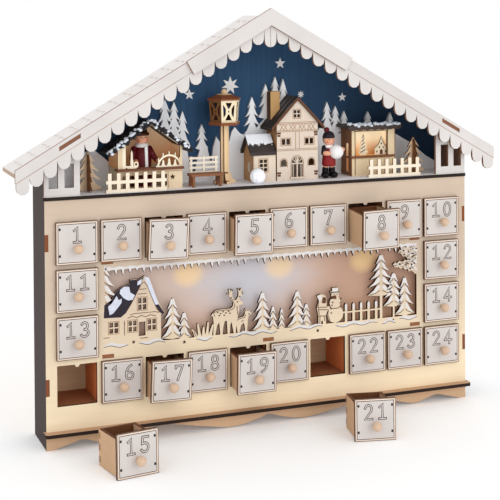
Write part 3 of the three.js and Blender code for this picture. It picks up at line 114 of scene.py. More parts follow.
class Finish:
    """One procedural material on a Principled shader."""

    def __init__(self, name, roughness=0.6, **constants):
        self.name = name
        self.material = bpy.data.materials.new(name)
        self.material.use_nodes = True
        self.tree = self.material.node_tree
        self.shader = next(n for n in self.tree.nodes if n.type == "BSDF_PRINCIPLED")
        self.shader.inputs["Roughness"].default_value = roughness
        self.shader.inputs["Specular IOR Level"].default_value = SHEEN
        for socket, value in constants.items():
            self.shader.inputs[socket.replace("_", " ")].default_value = value
        self.coordinates = self.tree.nodes.new("ShaderNodeTexCoord")

    def node(self, kind, settings, *inputs, output=0, **named):
        """A node of a kind, with its settings made first and its sockets set or linked."""
        made = self.tree.nodes.new(kind)
        for key, setting in settings.items():
            setattr(made, key, setting)
        for key, value in list(enumerate(inputs)) + list(named.items()):
            target = made.inputs[key]
            if isinstance(value, Value):
                self.tree.links.new(value.socket, target)
            else:
                target.default_value = value
        return Value(self, made.outputs[output])

    def where(self):
        """Object coordinates as three values, in millimetres from the panel's face."""
        split = self.node("ShaderNodeSeparateXYZ", {}, Value(self, self.coordinates.outputs["Object"]))
        axes = split.socket.node.outputs
        x, y, z = (Value(self, axis) * (1 / MM) for axis in axes)
        return x, y - PANEL_FACE, z

    def facing(self):
        """The surface's direction as three values."""
        split = self.node("ShaderNodeSeparateXYZ", {}, Value(self, self.coordinates.outputs["Normal"]))
        return tuple(Value(self, axis) for axis in split.socket.node.outputs)

    def noise(self, stretch, detail=3.0, roughness=0.55, offset=0.0):
        """Cloudy noise from 0 to 1, as fine along each axis as stretch says."""
        mapped = self.node("ShaderNodeMapping", {}, Value(self, self.coordinates.outputs["Object"]),
                           Scale=stretch, Location=(offset, offset * 0.7, offset * 1.3))
        return self.node("ShaderNodeTexNoise", {}, Vector=mapped, Scale=1.0, Detail=detail,
                         Roughness=roughness)

    def step(self, value, low, high):
        """0 below low, 1 above high, smooth between."""
        settings = {"interpolation_type": "SMOOTHSTEP"}
        if low > high:
            return 1 - self.node("ShaderNodeMapRange", settings, value, high, low)
        return self.node("ShaderNodeMapRange", settings, value, low, high)

    def between(self, value, low, high, soft=0.1):
        """1 from low to high, 0 outside."""
        return self.step(value, low - soft, low) * self.step(value, high + soft, high)

    def mix(self, factor, first, second):
        """The first colour where the factor is 0, the second where it is 1."""
        made = self.tree.nodes.new("ShaderNodeMix")
        made.data_type = "RGBA"
        for key, value in ((0, factor), (6, first), (7, second)):
            if isinstance(value, Value):
                self.tree.links.new(value.socket, made.inputs[key])
            else:
                made.inputs[key].default_value = value
        return Value(self, made.outputs[2])

    def veneer(self, face, grain="X", streak=0.3, spread=0.16):
        """The colour of planed wood with its fibres along an axis."""
        fibres = self.noise(GRAIN[grain], 4.0)
        patches = self.noise((18.0, 18.0, 18.0), 2.0, offset=3.0)
        self.bump(fibres, 0.16, 0.0004)
        dark, light = linear(face, 1 - spread), linear(face, 1 + spread)
        return self.mix(fibres * streak + patches * (1 - streak), dark, light)

    def burnt(self, edge, board="Y"):
        """The colour of a laser-cut edge, with the layers of the plywood showing."""
        wave = (self.where()[AXES[board]] * (2 * math.pi)).sine()
        layers = wave * 0.5 + 0.5
        char = self.noise((90.0, 90.0, 90.0), 2.0, offset=7.0)
        return self.mix(layers * 0.3 + char * 0.45, linear(edge), linear(edge, 0.5))

    def tint(self, colour, socket="Base Color"):
        """Feeds a colour to the surface."""
        self.tree.links.new(colour.socket, self.shader.inputs[socket])

    def glow(self, mask, colour, strength):
        """Light that the surface gives off by itself where the mask is 1."""
        self.tint(self.mix(mask, BLACK, colour), "Emission Color")
        self.shader.inputs["Emission Strength"].default_value = strength

    def bump(self, height, strength, distance):
        """Relief too fine to model."""
        settled = self.node("ShaderNodeBump", {}, Strength=strength, Distance=distance, Height=height)
        self.tree.links.new(settled.socket, self.shader.inputs["Normal"])

    def roughen(self, value):
        """Feeds a changing roughness to the surface."""
        self.tree.links.new(value.socket, self.shader.inputs["Roughness"])


GRAIN = {"X": (14.0, 420.0, 420.0), "Y": (420.0, 14.0, 420.0), "Z": (420.0, 420.0, 14.0)}
AXES = {"X": 0, "Y": 1, "Z": 2}
FOOT_BAND = (30.0, 150.0)

# How a surface is turned: bounds for one part of its direction
ON_FACE = (0.55, 0.75)
SQUARE_ON = (0.6, 0.8)
SIDEWAYS = (0.6, 0.4)
FORWARD = (-0.5, -0.7)


def plywood(name, face, edge, grain="X", board="Y", roughness=0.62, streak=0.3, foot=None):
    """A laser-cut plywood board: veneer on its faces, burnt layers on its edges."""
    made = Finish(name, roughness)
    veneer = made.veneer(face, grain, streak)
    if foot:
        low = made.veneer(foot, grain, streak)
        veneer = made.mix(made.step(made.where()[2], *FOOT_BAND), low, veneer)
    on_face = made.step(abs(made.facing()[AXES[board]]), *ON_FACE)
    made.tint(made.mix(on_face, made.burnt(edge, board), veneer))
    return made


def paint(name, colour, roughness=0.45, mottle=0.06, **constants):
    """Brushed paint with a little unevenness."""
    made = Finish(name, roughness, **constants)
    cloud = made.noise((260.0, 260.0, 260.0), 2.0)
    made.tint(made.mix(cloud, linear(colour, 1 - mottle * 2), linear(colour, 1 + mottle)))
    made.roughen(cloud * 0.2 + (roughness - 0.1))
    return made


def snowy(name, colour):
    """Thick white paint dabbed on as snow."""
    made = Finish(name, 0.7)
    dabs = made.noise((420.0, 420.0, 420.0), 3.0)
    made.tint(made.mix(dabs, linear(colour, 0.86), linear(colour, 1.05)))
    made.bump(dabs, 0.5, 0.0006)
    return made


# Finishes of the cabinet and the roof

def cabinet_sides():
    """Dark stained side boards, browner on the side that faces the village."""
    made = Finish("cabinet_sides", 0.7)
    across, _, height = made.where()
    nx = made.facing()[0]
    outside = made.veneer("3f3432", "Z")
    inside = made.veneer("80604e", "Z")
    inner = made.step(across * nx, 0.0, -50.0) * made.step(height, STAGE_TOP - 1, STAGE_TOP)
    edge = made.step(abs(nx), 0.75, 0.55)
    stained = made.mix(inner, outside, inside)
    made.tint(made.mix(edge, stained, made.burnt("8f5334", "X")))
    return made


def night_board():
    """The back board: night blue on the village side, with painted shade at its ends; plain veneer behind.
    """
    made = Finish("night_board", 0.75)
    fibres = made.noise((420.0, 420.0, 9.0), 4.0)
    across, _, height = made.where()
    # Painted shade: the blue darkens towards both ends, where the roof slopes and side boards would shade
    # it.
    end_shade = made.step(abs(across + 10), 40.0, 175.0)
    blue = made.mix(fibres, linear("26415f"), linear("345778"))
    blue = made.mix(end_shade * 0.75, blue, linear("16273b"))
    veneer = made.mix(made.noise(GRAIN["X"], 4.0, offset=1.0), linear("c9a983"), linear("e0c6a2"))
    front = made.step(made.facing()[1], -0.4, -0.6) * made.step(height, STAGE_TOP - 2, STAGE_TOP - 1)
    made.tint(made.mix(front, veneer, blue))
    made.bump(fibres, 0.3, 0.0004)
    return made


def stage_boards():
    """The village's floor: white on top, dark along its edge, with a white ball of snow on it."""
    made = Finish("stage_boards", 0.6)
    height = made.where()[2]
    top = made.veneer("e6e4e6", "X", 0.2, 0.05)
    flat = made.step(abs(made.facing()[2]), *ON_FACE)
    board = made.mix(flat, made.burnt("271c18", "Z"), top)
    raised = made.step(height, STAGE_TOP + 0.05, STAGE_TOP + 0.25)
    made.tint(made.mix(raised, board, linear("f4f6fb")))
    return made


def roof_boards():
    """White washed roof boards, brown where a tab's end comes through the fascia."""
    made = Finish("roof_boards", 0.55)
    white = made.veneer("e6e1de", "Y", 0.2, 0.06)
    edge = made.step(abs(made.facing()[2]), 0.6, 0.45)
    tab = made.step(made.where()[1], -8.6, -9.4)
    brown = made.mix(tab, made.burnt("c4a68f", "Z"), made.burnt("8d5d44", "Z"))
    made.tint(made.mix(edge, white, brown))
    return made


# Painted light on the frosted sheet: three warm pools and a faint glow over the whole sheet.
GLOWS = ((-72.0, 1.0), (14.0, 0.9), (98.0, 1.0))
GLOW_HEIGHT = 137.0
GLOW_REACH = 210.0
SHEET_GLOW = 0.12
# Painted light in the rooms of the house and annex: the colour and strength of their glow.
ROOM_GLOW_COLOUR = "8c4a24"
ROOM_GLOW = 0.4


def mist_sheet():
    """The frosted sheet behind the fretwork, with painted light from behind in three pools and a faint glow.
    """
    made = Finish("mist_sheet", 0.6)
    across, _, height = made.where()
    cloud = made.noise((9.0, 9.0, 9.0), 2.0)
    left = made.mix(cloud, linear("b9a398"), linear("cdb7ab"))
    right = made.mix(cloud, linear("a98672"), linear("c09c86"))
    sheet = made.mix(made.step(across, 10.0, 90.0), left, right)
    chill = made.step(abs(across + 16) * 0.8 + abs(height - 128), 70.0, 6.0)
    sheet = made.mix(chill * 0.85, sheet, linear("b9bac2"))
    low = made.step(height, 112.0, 84.0)
    sheet = made.mix(low * 0.55, sheet, linear("b98f70"))
    # Painted light: three warm pools, strongest at their middles, as if lamps shone from behind.
    light_pools = 0.0
    for centre, strength in GLOWS:
        gap_x = (across - centre) * (across - centre)
        gap_z = (height - GLOW_HEIGHT) * (height - GLOW_HEIGHT)
        light_pools = made.step(gap_x * 0.7 + gap_z, GLOW_REACH, 0.0) * strength + light_pools
    glowing = made.mix(light_pools * 0.62, sheet, linear("ecc98f"))
    made.tint(glowing)
    # Painted light: the whole sheet glows faintly though it is no lamp.
    made.tint(glowing, "Emission Color")
    made.shader.inputs["Emission Strength"].default_value = SHEET_GLOW
    return made


def lamp_glass():
    """Warm lamps on a pale strip."""
    made = Finish("lamp_glass", 0.3)
    height = made.where()[2]
    lit = made.step(height, 151.4, 150.6)
    made.tint(made.mix(lit, linear("d9d2c4"), linear("ffd08a")))
    made.glow(lit, linear("ffc878"), 1.5)
    return made


# Finishes of the village, whose roofs are told from the walls by the slope that they lie on

def roof_mask(made, across, height, middle, ridge, slope):
    """1 on a roof of two slopes, 0 on the walls under it."""
    cover = THIN_PLY * math.hypot(1, slope)
    line = STAGE_TOP + ridge - cover - 0.06
    return made.step(height + abs(across - middle) * slope, line - 0.05, line)


def house_finish():
    """Cream walls, brown window reveals, a tan chimney, a dark roof rubbed grey and a painted glow of
    lamplight inside.
    """
    made = Finish("house", 0.6)
    x, y, z = made.where()
    nx, ny, nz = made.facing()
    wall = made.veneer("d8c8b8", "Z")
    wall = made.mix(made.step(abs(nx), *SQUARE_ON), wall, made.burnt("a97a4e"))
    reveal = made.between(y, 16.15, 17.85) * made.step(abs(ny), *SIDEWAYS)
    wall = made.mix(reveal, wall, made.burnt("8a5a34"))
    roof = roof_mask(made, x, z, HOUSE_X, 76.0, 27.5 / 26)
    stain = made.mix(made.noise((70.0, 700.0, 70.0), 3.0, offset=2.0), linear("1b1513"), linear("3c322e"))
    rubbed = made.noise((26.0, 330.0, 26.0), 4.0, offset=4.0)
    worn = made.step(rubbed - abs(z - 277.0) * 0.012, 0.46, 0.58)
    top = made.mix(worn * 0.8, stain, linear("8d8c90"))
    rim = made.burnt("6e4831", "Z")
    rim = made.mix(made.step(ny, -0.4, -0.6), linear("33261f"), rim)
    cover = made.mix(made.step(nz, 0.3, 0.45), rim, top)
    coloured = made.mix(roof, wall, cover)
    stack = made.between(x, 15.4, 24.6) * made.between(y, 29.9, 39.1) * made.step(z, 258.0, 259.0)
    side = made.mix(made.step(nx, *FORWARD), made.veneer("c79d68", "Z"), made.burnt("5b3c28"))
    made.tint(made.mix(stack, coloured, side))
    # Painted light: the inside of the house glows as if lamps were lit there.
    hollow = made.between(y, 18.15, 38.85) * made.between(x, 17.9, 54.1) * made.step(z, 284.0, 283.0)
    made.glow(hollow * (1 - roof), linear(ROOM_GLOW_COLOUR), ROOM_GLOW)
    return made


def annex_finish():
    """Cream walls with painted shade where they face left, a dark roof with snow along its ridge, and
    painted lamplight inside.
    """
    made = Finish("annex", 0.6)
    x, y, z = made.where()
    nx, ny, nz = made.facing()
    wall = made.veneer("ddcdba", "Z")
    # Painted shade: walls that face left get a darker tan copy of the cream wall.
    wall = made.mix(made.step(nx, -0.6, -0.8), wall, made.veneer("b98c5c", "Z"))
    reveal = made.between(y, 17.15, 18.85) * made.step(abs(ny), *SIDEWAYS)
    wall = made.mix(reveal, wall, made.burnt("8a5a34"))
    roof = roof_mask(made, y, z, 28.75, 42.0, 15 / 12.8)
    stain = made.mix(made.noise((90.0, 60.0, 500.0), 3.0), linear("272120"), linear("4b423f"))
    ragged = made.noise((330.0, 330.0, 330.0), 3.0, offset=5.0)
    snow = made.step(z + ragged * 9.0, STAGE_TOP + 37.6, STAGE_TOP + 38.4)
    cover = made.mix(snow * made.step(nz, 0.1, 0.3), stain, linear("eef1f8"))
    made.tint(made.mix(roof, wall, cover))
    # Painted light: the inside of the annex glows as if a lamp were lit there.
    hollow = made.between(y, 19.15, 38.35) * made.between(x, -4.9, 12.9)
    made.glow(hollow * (1 - roof), linear(ROOM_GLOW_COLOUR), ROOM_GLOW)
    return made


def stall_finish():
    """Pale boards, a brown counter, a warm inside with painted lamplight that glows, and a dark roof."""
    made = Finish("stall", 0.6)
    x, y, z = made.where()
    ny = made.facing()[1]
    wall = made.veneer("dcc6a6", "Z")
    cut = made.step(abs(ny), *SIDEWAYS) * made.step(y, 11.9, 11.7)
    wall = made.mix(cut, wall, made.burnt("7d5232"))
    inside = made.step(y, 11.9, 12.4) * made.step(z, STAGE_TOP + 18, STAGE_TOP + 20)
    # Painted light: the inside darkens low down and pales high up, as if a lamp hung inside.
    warm = made.mix(made.step(z, STAGE_TOP + 16, STAGE_TOP + 52), linear("bb7f4e"), linear("e6bf98"))
    wall = made.mix(inside, wall, warm)
    goods = made.step(y, 11.6, 11.4) * made.step(z, STAGE_TOP + 19.1, STAGE_TOP + 19.3)
    goods = goods * made.step(abs(x + 105), 24.9, 24.6) * made.step(ny, *FORWARD)
    wall = made.mix(goods, wall, linear("f3e6cd"))
    counter = made.between(z, STAGE_TOP + 16.95, STAGE_TOP + 19.05) * made.step(y, 17.8, 17.6)
    wall = made.mix(counter, wall, made.burnt("7a4d38", "Z"))
    roof = roof_mask(made, x, z, STALL_X, STALL_RIDGE, STALL_SLOPE)
    stain = made.mix(made.noise((120.0, 700.0, 120.0), 3.0), linear("1f1c1e"), linear("3d3735"))
    made.tint(made.mix(roof, wall, stain))
    # Painted light: the inside glows though it holds no lamp.
    made.glow(inside * (1 - roof), warm, 0.22)
    return made


def booth_finish():
    """Pale posts with brown edges, an inside with a painted pool of lamplight that glows, and a dark flat
    roof.
    """
    made = Finish("booth", 0.6)
    x, y, z = made.where()
    nx, ny, _ = made.facing()
    wall = made.veneer("e2cda9", "Z")
    edge = made.burnt("8a5c3a")
    wall = made.mix(made.step(abs(nx), *SQUARE_ON), wall, edge)
    stripe = made.step(abs(abs(x - BOOTH_X) - 22.8), 0.9, 0.7)
    wall = made.mix(stripe * made.step(ny, *FORWARD), wall, edge)
    inside = made.step(y, 21.2, 21.8) * made.between(x, 93.1, 134.9) * made.step(y, 39.6, 39.3)
    # Painted light: a pool of lamplight, pale in the middle and high up, darker towards the sides and low
    # down.
    low = made.mix(made.step(abs(x - 110), 4.0, 17.0), linear("d9a05e"), linear("b06c34"))
    lit = made.mix(made.step(z, STAGE_TOP + 16, STAGE_TOP + 36), low, linear("f7e9c8"))
    wall = made.mix(inside, wall, lit)
    goods = made.between(y, 22.9, 24.3) * made.step(ny, *FORWARD)
    goods = goods * made.step(z, STAGE_TOP + 18.2, STAGE_TOP + 18.6)
    wall = made.mix(goods, wall, linear("f0e0c0"))
    counter = made.between(z, STAGE_TOP + 16.45, STAGE_TOP + 18.55) * made.step(y, 20.9, 20.7)
    wall = made.mix(counter, wall, made.burnt("8a5a3c", "Z"))
    valance = made.step(y, 18.9, 18.7) * made.step(z, 250.0, 252.0)
    roof = made.step(z, STAGE_TOP + 44.25, STAGE_TOP + 44.3).most(valance)
    stain = made.mix(made.noise((300.0, 300.0, 300.0), 3.0), linear("2c2524"), linear("57473f"))
    made.tint(made.mix(roof, wall, stain))
    # Painted light: the inside glows, all but the goods, though it holds no lamp.
    made.glow(inside * (1 - goods) * (1 - roof), lit, 0.42)
    return made


def lantern_finish():
    """Cream panes with burnt lattice edges and painted shade where they face left, a brown roof and plate,
    and a pale post and finial.
    """
    made = Finish("lantern", 0.55)
    x, y, z = made.where()
    nx, ny, _ = made.facing()
    post = made.mix(made.step(ny, -0.6, -0.8), made.burnt("7c4c2e"), made.veneer("e6c79c", "Z"))
    out = (x - LANTERN_X) * nx + (y - LANTERN_Y) * ny
    # Painted shade: panes that face left are brown instead of cream.
    pane = made.mix(made.step(nx, -0.35, -0.55), made.veneer("ecdcbb", "Z"), linear("7a5130"))
    pane = made.mix(made.step(out, 9.4, 10.0), made.burnt("6a4024"), pane)
    lamp = made.mix(made.step(z, STAGE_TOP + 55, STAGE_TOP + 55.4), post, pane)
    roof = made.veneer("7d4729", "X", 0.3, 0.25)
    plate = made.between(z, STAGE_TOP + 52.3, STAGE_TOP + 55.0)
    roof_part = made.step(z, STAGE_TOP + 74.5, STAGE_TOP + 74.9)
    lamp = made.mix(plate.most(roof_part), lamp, roof)
    made.tint(made.mix(made.step(z, STAGE_TOP + 79.2, STAGE_TOP + 79.6), lamp, linear("e3c49b")))
    return made


def bench_finish():
    """Pale slats on a brown seat and legs."""
    made = Finish("bench", 0.6)
    z = made.where()[2]
    brown = made.veneer("84563a", "X", 0.5, 0.25)
    pale = made.veneer("e6dccb", "X")
    back = made.step(z, STAGE_TOP + 11.7, STAGE_TOP + 12.0)
    edge = made.step(abs(made.facing()[1]), *SIDEWAYS) * back
    made.tint(made.mix(edge, made.mix(back, brown, pale), made.burnt("a8794e")))
    return made


def crossed_finish():
    """Two firs slotted together: the one across is pale, the one along is given painted shade to look
    darker.
    """
    made = Finish("crossed_fir", 0.6)
    nx, ny, _ = made.facing()
    pale = made.veneer("dcc0a0", "Z")
    # Painted shade: the fir that faces sideways is the same wood, given a darker copy of the veneer.
    dark = made.veneer("8d5f3d", "Z", 0.4, 0.3)
    boards = made.mix(made.step(abs(nx), 0.7, 0.9), pale, dark)
    cut = made.step(abs(nx).most(abs(ny)), 0.97, 0.93)
    made.tint(made.mix(cut, boards, made.burnt("6e4527")))
    return made


PLYWOODS = {
    "front_birch": ("c9b6a2", "3f281c", {"foot": "f0dcbc"}),
    "plinth_birch": ("c9a887", "4e3323", {}),
    "fence_wood": ("ecdfca", "b58a5e", {"grain": "Z"}),
    "ledge": ("c09b7b", "2c1e18", {"board": "Z"}),
    "rack": ("d47c4a", "a86c48", {"grain": "Y", "board": "X"}),
    "white_board": ("d0cbc8", "9c7359", {"roughness": 0.55, "streak": 0.15}),
    "tray": ("c7a381", "70452a", {"grain": "Y", "board": "X"}),
    "drawer_rim": ("e8d6c6", "5a3a28", {"grain": "Z"}),
    "drawer_wash": ("ccc5c1", "a98a74", {"grain": "Z", "roughness": 0.5, "streak": 0.1}),
    "hills": ("f9fbff", "d6d6da", {"streak": 0.1}),
}
PAINTS = {
    "burn": ("5f3d2a", 0.7),
    "burn_soft": ("a07c5c", 0.7),
    "engraved": ("3d271b", 0.7),
    "roof_mark": ("b7a294", 0.7),
    "char": ("2b2120", 0.7),
    "cottage_roof": ("2d2730", 0.6),
    "cottage_snow": ("d3d8e6", 0.6, 0.1),
    "garland_dark": ("2e2c30", 0.6),
    "goods": ("ecdcbd", 0.6),
    "case": ("26262a", 0.45),
    "skin": ("e6ab8c", 0.45, 0.03),
    "glove": ("c9885c", 0.5),
    "hair": ("4a2a1b", 0.5),
    "burgundy": ("5d161d", 0.4),
    "red": ("8c2426", 0.4),
    "cheek": ("d8694f", 0.45),
    "black_paint": ("0f0e11", 0.4),
    "charcoal": ("241f26", 0.5),
    "white_paint": ("f1efee", 0.45),
}
SNOWS = {"window_snow": "dfdbd9", "roof_snow": "e6edf6"}


def make_finishes():
    """Every finish, by the name of the piece or paint that it is for."""
    made = [plywood(name, face, edge, **more) for name, (face, edge, more) in PLYWOODS.items()]
    made += [paint(name, *look) for name, look in PAINTS.items()]
    made += [snowy(name, colour) for name, colour in SNOWS.items()]
    made.append(paint("beech", "d2b59b", 0.5, Coat_Weight=0.05))
    for make in (cabinet_sides, night_board, stage_boards, roof_boards, mist_sheet, lamp_glass,
                 house_finish, annex_finish, stall_finish, booth_finish, lantern_finish, bench_finish,
                 crossed_finish):
        made.append(make())
    return {finish.name: finish for finish in made}


# Modelling in millimetres, with y = 0 on the face of the front panel

class Piece:
    """A mesh under way, whose faces carry the finishes that they were added with."""

    def __init__(self):
        self.bm = bmesh.new()
        self.dressed = self.bm.faces.layers.int.new("dressed")
        self.names = []
        self.layer = 0

    def dress(self, finish, smooth=False):
        """Gives the faces added since the last call their finish."""
        if finish not in self.names:
            self.names.append(finish)
        slot = self.names.index(finish)
        for face in self.bm.faces:
            if not face[self.dressed]:
                face[self.dressed] = 1
                face.material_index = slot
                face.smooth = smooth

    def box(self, low, high, turn=None):
        """The corners of a new box between two opposite corners."""
        size = [b - a for a, b in zip(low, high)]
        middle = Vector([(a + b) / 2 for a, b in zip(low, high)])
        matrix = Matrix.Translation(middle) @ (turn or Matrix()) @ Matrix.Diagonal(size + [1.0])
        return bmesh.ops.create_cube(self.bm, size=1.0, matrix=matrix)["verts"]

    def block(self, low, high, finish, bevel=0.0, turn=None):
        """A box, with rounded edges where it has a bevel."""
        made = self.box(low, high, turn)
        if bevel:
            edges = {edge for vert in made for edge in vert.link_edges}
            bmesh.ops.bevel(self.bm, geom=list(edges), offset=bevel, affect="EDGES", segments=2,
                            profile=0.5, material=-1)
        self.dress(finish, bevel > 0)

    def ball(self, centre, radius, finish, scale=(1.0, 1.0, 1.0), rings=14, around=None):
        """A ball, or an egg where the scale isn't even."""
        matrix = Matrix.Translation(centre) @ Matrix.Diagonal(list(scale) + [1.0])
        bmesh.ops.create_uvsphere(self.bm, u_segments=around or rings + 4, v_segments=rings,
                                  radius=radius, matrix=matrix)
        self.dress(finish, True)

    def turned(self, profile, finish, matrix=None, steps=28):
        """A lathe piece from [radius, height] points that start and end on the axis."""
        verts = [self.bm.verts.new((radius, 0.0, height)) for radius, height in profile]
        edges = [self.bm.edges.new(pair) for pair in zip(verts, verts[1:])]
        before = set(self.bm.verts) - set(verts)
        bmesh.ops.spin(self.bm, geom=verts + edges, cent=(0, 0, 0), axis=(0, 0, 1), angle=2 * math.pi,
                       steps=steps, use_merge=True)
        made = [vert for vert in self.bm.verts if vert not in before]
        bmesh.ops.remove_doubles(self.bm, verts=made, dist=1e-4)
        made = [vert for vert in self.bm.verts if vert not in before]
        bmesh.ops.transform(self.bm, matrix=matrix or Matrix(), verts=made)
        around = {face for vert in made for face in vert.link_faces}
        bmesh.ops.recalc_face_normals(self.bm, faces=list(around))
        self.dress(finish, True)

    def limb(self, start, end, first, last, finish):
        """A tapering bar between two balls."""
        start, end = Vector(start), Vector(end)
        along = (end - start).to_track_quat("Z", "Y").to_matrix().to_4x4()
        matrix = Matrix.Translation((start + end) / 2) @ along
        bmesh.ops.create_cone(self.bm, cap_ends=True, cap_tris=False, segments=16, radius1=first,
                              radius2=last, depth=(end - start).length, matrix=matrix)
        self.dress(finish, True)
        self.ball(start, first, finish, rings=10)
        self.ball(end, last, finish, rings=10)

    def raise_faces(self, faces, thickness, finish):
        """Thickens flat faces towards the front."""
        verts = list({vert for face in faces for vert in face.verts})
        grown = bmesh.ops.extrude_face_region(self.bm, geom=faces, use_keep_orig=True)
        moved = [item for item in grown["geom"] if isinstance(item, bmesh.types.BMVert)]
        bmesh.ops.translate(self.bm, verts=moved, vec=(0.0, -thickness, 0.0))
        around = {face for vert in verts + moved for face in vert.link_faces}
        bmesh.ops.recalc_face_normals(self.bm, faces=list(around))
        self.dress(finish)

    def cutout(self, points, y, finish, thickness=HAIR):
        """A flat shape of x and z points, standing its thickness in front of y."""
        verts = [self.bm.verts.new((x, y, z)) for x, z in points]
        self.raise_faces([self.bm.faces.new(verts)], thickness, finish)

    def ribbon(self, points, width, y, finish, thickness=HAIR):
        """A line of one width through x and z points, mitred at its corners."""
        closed = math.dist(points[0], points[-1]) < 0.01
        line = [Vector(point) for point in (points[:-1] if closed else points)]
        if not closed:
            line[0] = line[0] - (line[1] - line[0]).normalized() * width / 2
            line[-1] = line[-1] + (line[-1] - line[-2]).normalized() * width / 2
        count = len(line)
        rails = ([], [])
        for i, spot in enumerate(line):
            ahead = (line[(i + 1) % count] - spot).normalized() if closed or i < count - 1 else None
            behind = (spot - line[i - 1]).normalized() if closed or i > 0 else ahead
            ahead = behind if ahead is None else ahead
            along = (ahead + behind).normalized()
            across = Vector((-along.y, along.x))
            mitre = min(1 / max(across.dot(Vector((-ahead.y, ahead.x))), 0.1), 1.6)
            for rail, way in zip(rails, (-1, 1)):
                corner = spot + across * (way * mitre * width / 2)
                rail.append(self.bm.verts.new((corner.x, y, corner.y)))
        faces = []
        for i in range(count if closed else count - 1):
            j = (i + 1) % count
            faces.append(self.bm.faces.new((rails[0][i], rails[0][j], rails[1][j], rails[1][i])))
        self.raise_faces(faces, thickness, finish)

    def engrave(self, lines, width, y, finish, thickness=HAIR):
        """Lines that may cross, each a hair higher than the last."""
        for line in lines:
            self.layer = (self.layer + 1) % 8
            self.ribbon(line, width, y, finish, thickness + self.layer * 0.012)

    def build(self, name, body, slot, *nodes, matrix=None):
        """Makes the piece an object that rides on a body and stands for CAD nodes."""
        if matrix is not None:
            bmesh.ops.transform(self.bm, matrix=matrix, verts=self.bm.verts)
        bmesh.ops.transform(self.bm, matrix=TO_FRAME, verts=self.bm.verts)
        mesh = bpy.data.meshes.new(name)
        self.bm.to_mesh(mesh)
        self.bm.free()
        for finish in self.names:
            mesh.materials.append(finishes()[finish].material)
        made = bpy.data.objects.new(name, mesh)
        bpy.context.scene.collection.objects.link(made)
        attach(made, body)
        if nodes:
            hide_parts(*nodes)
        return made


def arc(cx, cz, rx, rz, start, end, steps=12):
    """Points along part of an ellipse, between two angles in degrees."""
    angles = [math.radians(start + (end - start) * i / steps) for i in range(steps + 1)]
    return [(cx + rx * math.cos(a), cz + rz * math.sin(a)) for a in angles]


def oval(cx, cz, rx, rz, steps=8):
    """A closed outline without a repeated point."""
    return arc(cx, cz, rx, rz, 0, 360, steps)[:-1]


def rectangle(left, right, low, high):
    """A line round four corners that ends where it starts."""
    return [(left, low), (right, low), (right, high), (left, high), (left, low)]


def moved(points, x, z):
    """The points with x and z added."""
    return [(x + across, z + up) for across, up in points]


def placed(lines, x):
    """Lines that are given from a spot x on the stage."""
    return [moved(line, x, STAGE_TOP) for line in lines]


def star(cx, cz, radius, points, waist):
    """A star's outline."""
    angles = [math.pi / 2 + math.pi * i / points for i in range(2 * points)]
    reach = [radius, radius * waist]
    spikes = [(reach[i % 2] * math.cos(a), reach[i % 2] * math.sin(a)) for i, a in enumerate(angles)]
    return moved(spikes, cx, cz)


def holds(outline, x, z):
    """Whether an outline of x and z points goes round a spot."""
    inside = False
    for (x0, z0), (x1, z1) in zip(outline, outline[1:] + outline[:1]):
        if (z0 > z) != (z1 > z) and x < x0 + (z - z0) * (x1 - x0) / (z1 - z0):
            inside = not inside
    return inside


def finish_nodes(finish, *names):
    """Gives CAD nodes that keep their shape a finish."""
    for name in names:
        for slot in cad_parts[name].material_slots:
            slot.material = finishes()[finish].material


# Sizes and colours that a user would change

class DrawerSettings(bpy.types.PropertyGroup):
    front: FloatProperty(name="Front", description="Side of the drawer front", default=0.036, min=0.02,
                         unit="LENGTH")
    frame_inset: FloatProperty(name="Frame inset", description="Engraved frame from the front's edge",
                               default=0.0019, min=0.001, unit="LENGTH")
    numeral: FloatProperty(name="Numeral", description="Height of the numerals", default=0.0138, min=0.005,
                           unit="LENGTH")
    knob: FloatProperty(name="Knob radius", description="Radius of the ball knob", default=0.0041, min=0.002,
                        unit="LENGTH")


class VillageSettings(bpy.types.PropertyGroup):
    dab: FloatProperty(name="Snow dab", description="Radius of the dabs of snow on the roofs",
                       default=0.00125, min=0.0004, unit="LENGTH")
    seed: IntProperty(name="Seed", description="Seed for the dabs of snow", default=7, min=0)


class StudioSettings(bpy.types.PropertyGroup):
    lens: FloatProperty(name="Lens", description="Focal length of the camera", default=93.1, min=10.0,
                        unit="CAMERA")
    key: FloatProperty(name="Key light", description="Power of the large soft light", default=12.0, min=0.0,
                       unit="POWER")
    floor: FloatVectorProperty(name="Floor", description="Colour of the floor", subtype="COLOR", size=3,
                               default=(0.9, 0.9, 0.9), min=0.0, max=1.0)


FINISHES = {}


def finishes():
    """The finishes, made once."""
    if not FINISHES:
        FINISHES.update(make_finishes())
    return FINISHES


# Drawers

DIGITS = {
    "0": [arc(0.31, 0.5, 0.23, 0.44, 0, 360, 18)],
    "1": [[(0.14, 0.78), (0.32, 0.93), (0.32, 0.07)], [(0.12, 0.07), (0.52, 0.07)]],
    "2": [arc(0.31, 0.69, 0.21, 0.24, 165, -32, 9) + [(0.12, 0.07), (0.54, 0.07)]],
    "3": [arc(0.29, 0.72, 0.19, 0.21, 150, -85, 9), arc(0.29, 0.29, 0.23, 0.22, 85, -150, 10)],
    "4": [[(0.42, 0.07), (0.42, 0.93), (0.09, 0.32)], [(0.09, 0.30), (0.58, 0.30)]],
    "5": [[(0.51, 0.93), (0.17, 0.93), (0.14, 0.55)] + arc(0.29, 0.33, 0.23, 0.26, 122, -150, 10)],
    "6": [arc(0.31, 0.29, 0.22, 0.22, 0, 360, 14), arc(0.52, 0.34, 0.43, 0.59, 180, 104, 6)],
    "7": [[(0.09, 0.80), (0.09, 0.93), (0.53, 0.93), (0.24, 0.07)]],
    "8": [arc(0.31, 0.72, 0.18, 0.21, 0, 360, 13), arc(0.31, 0.28, 0.22, 0.22, 0, 360, 14)],
}
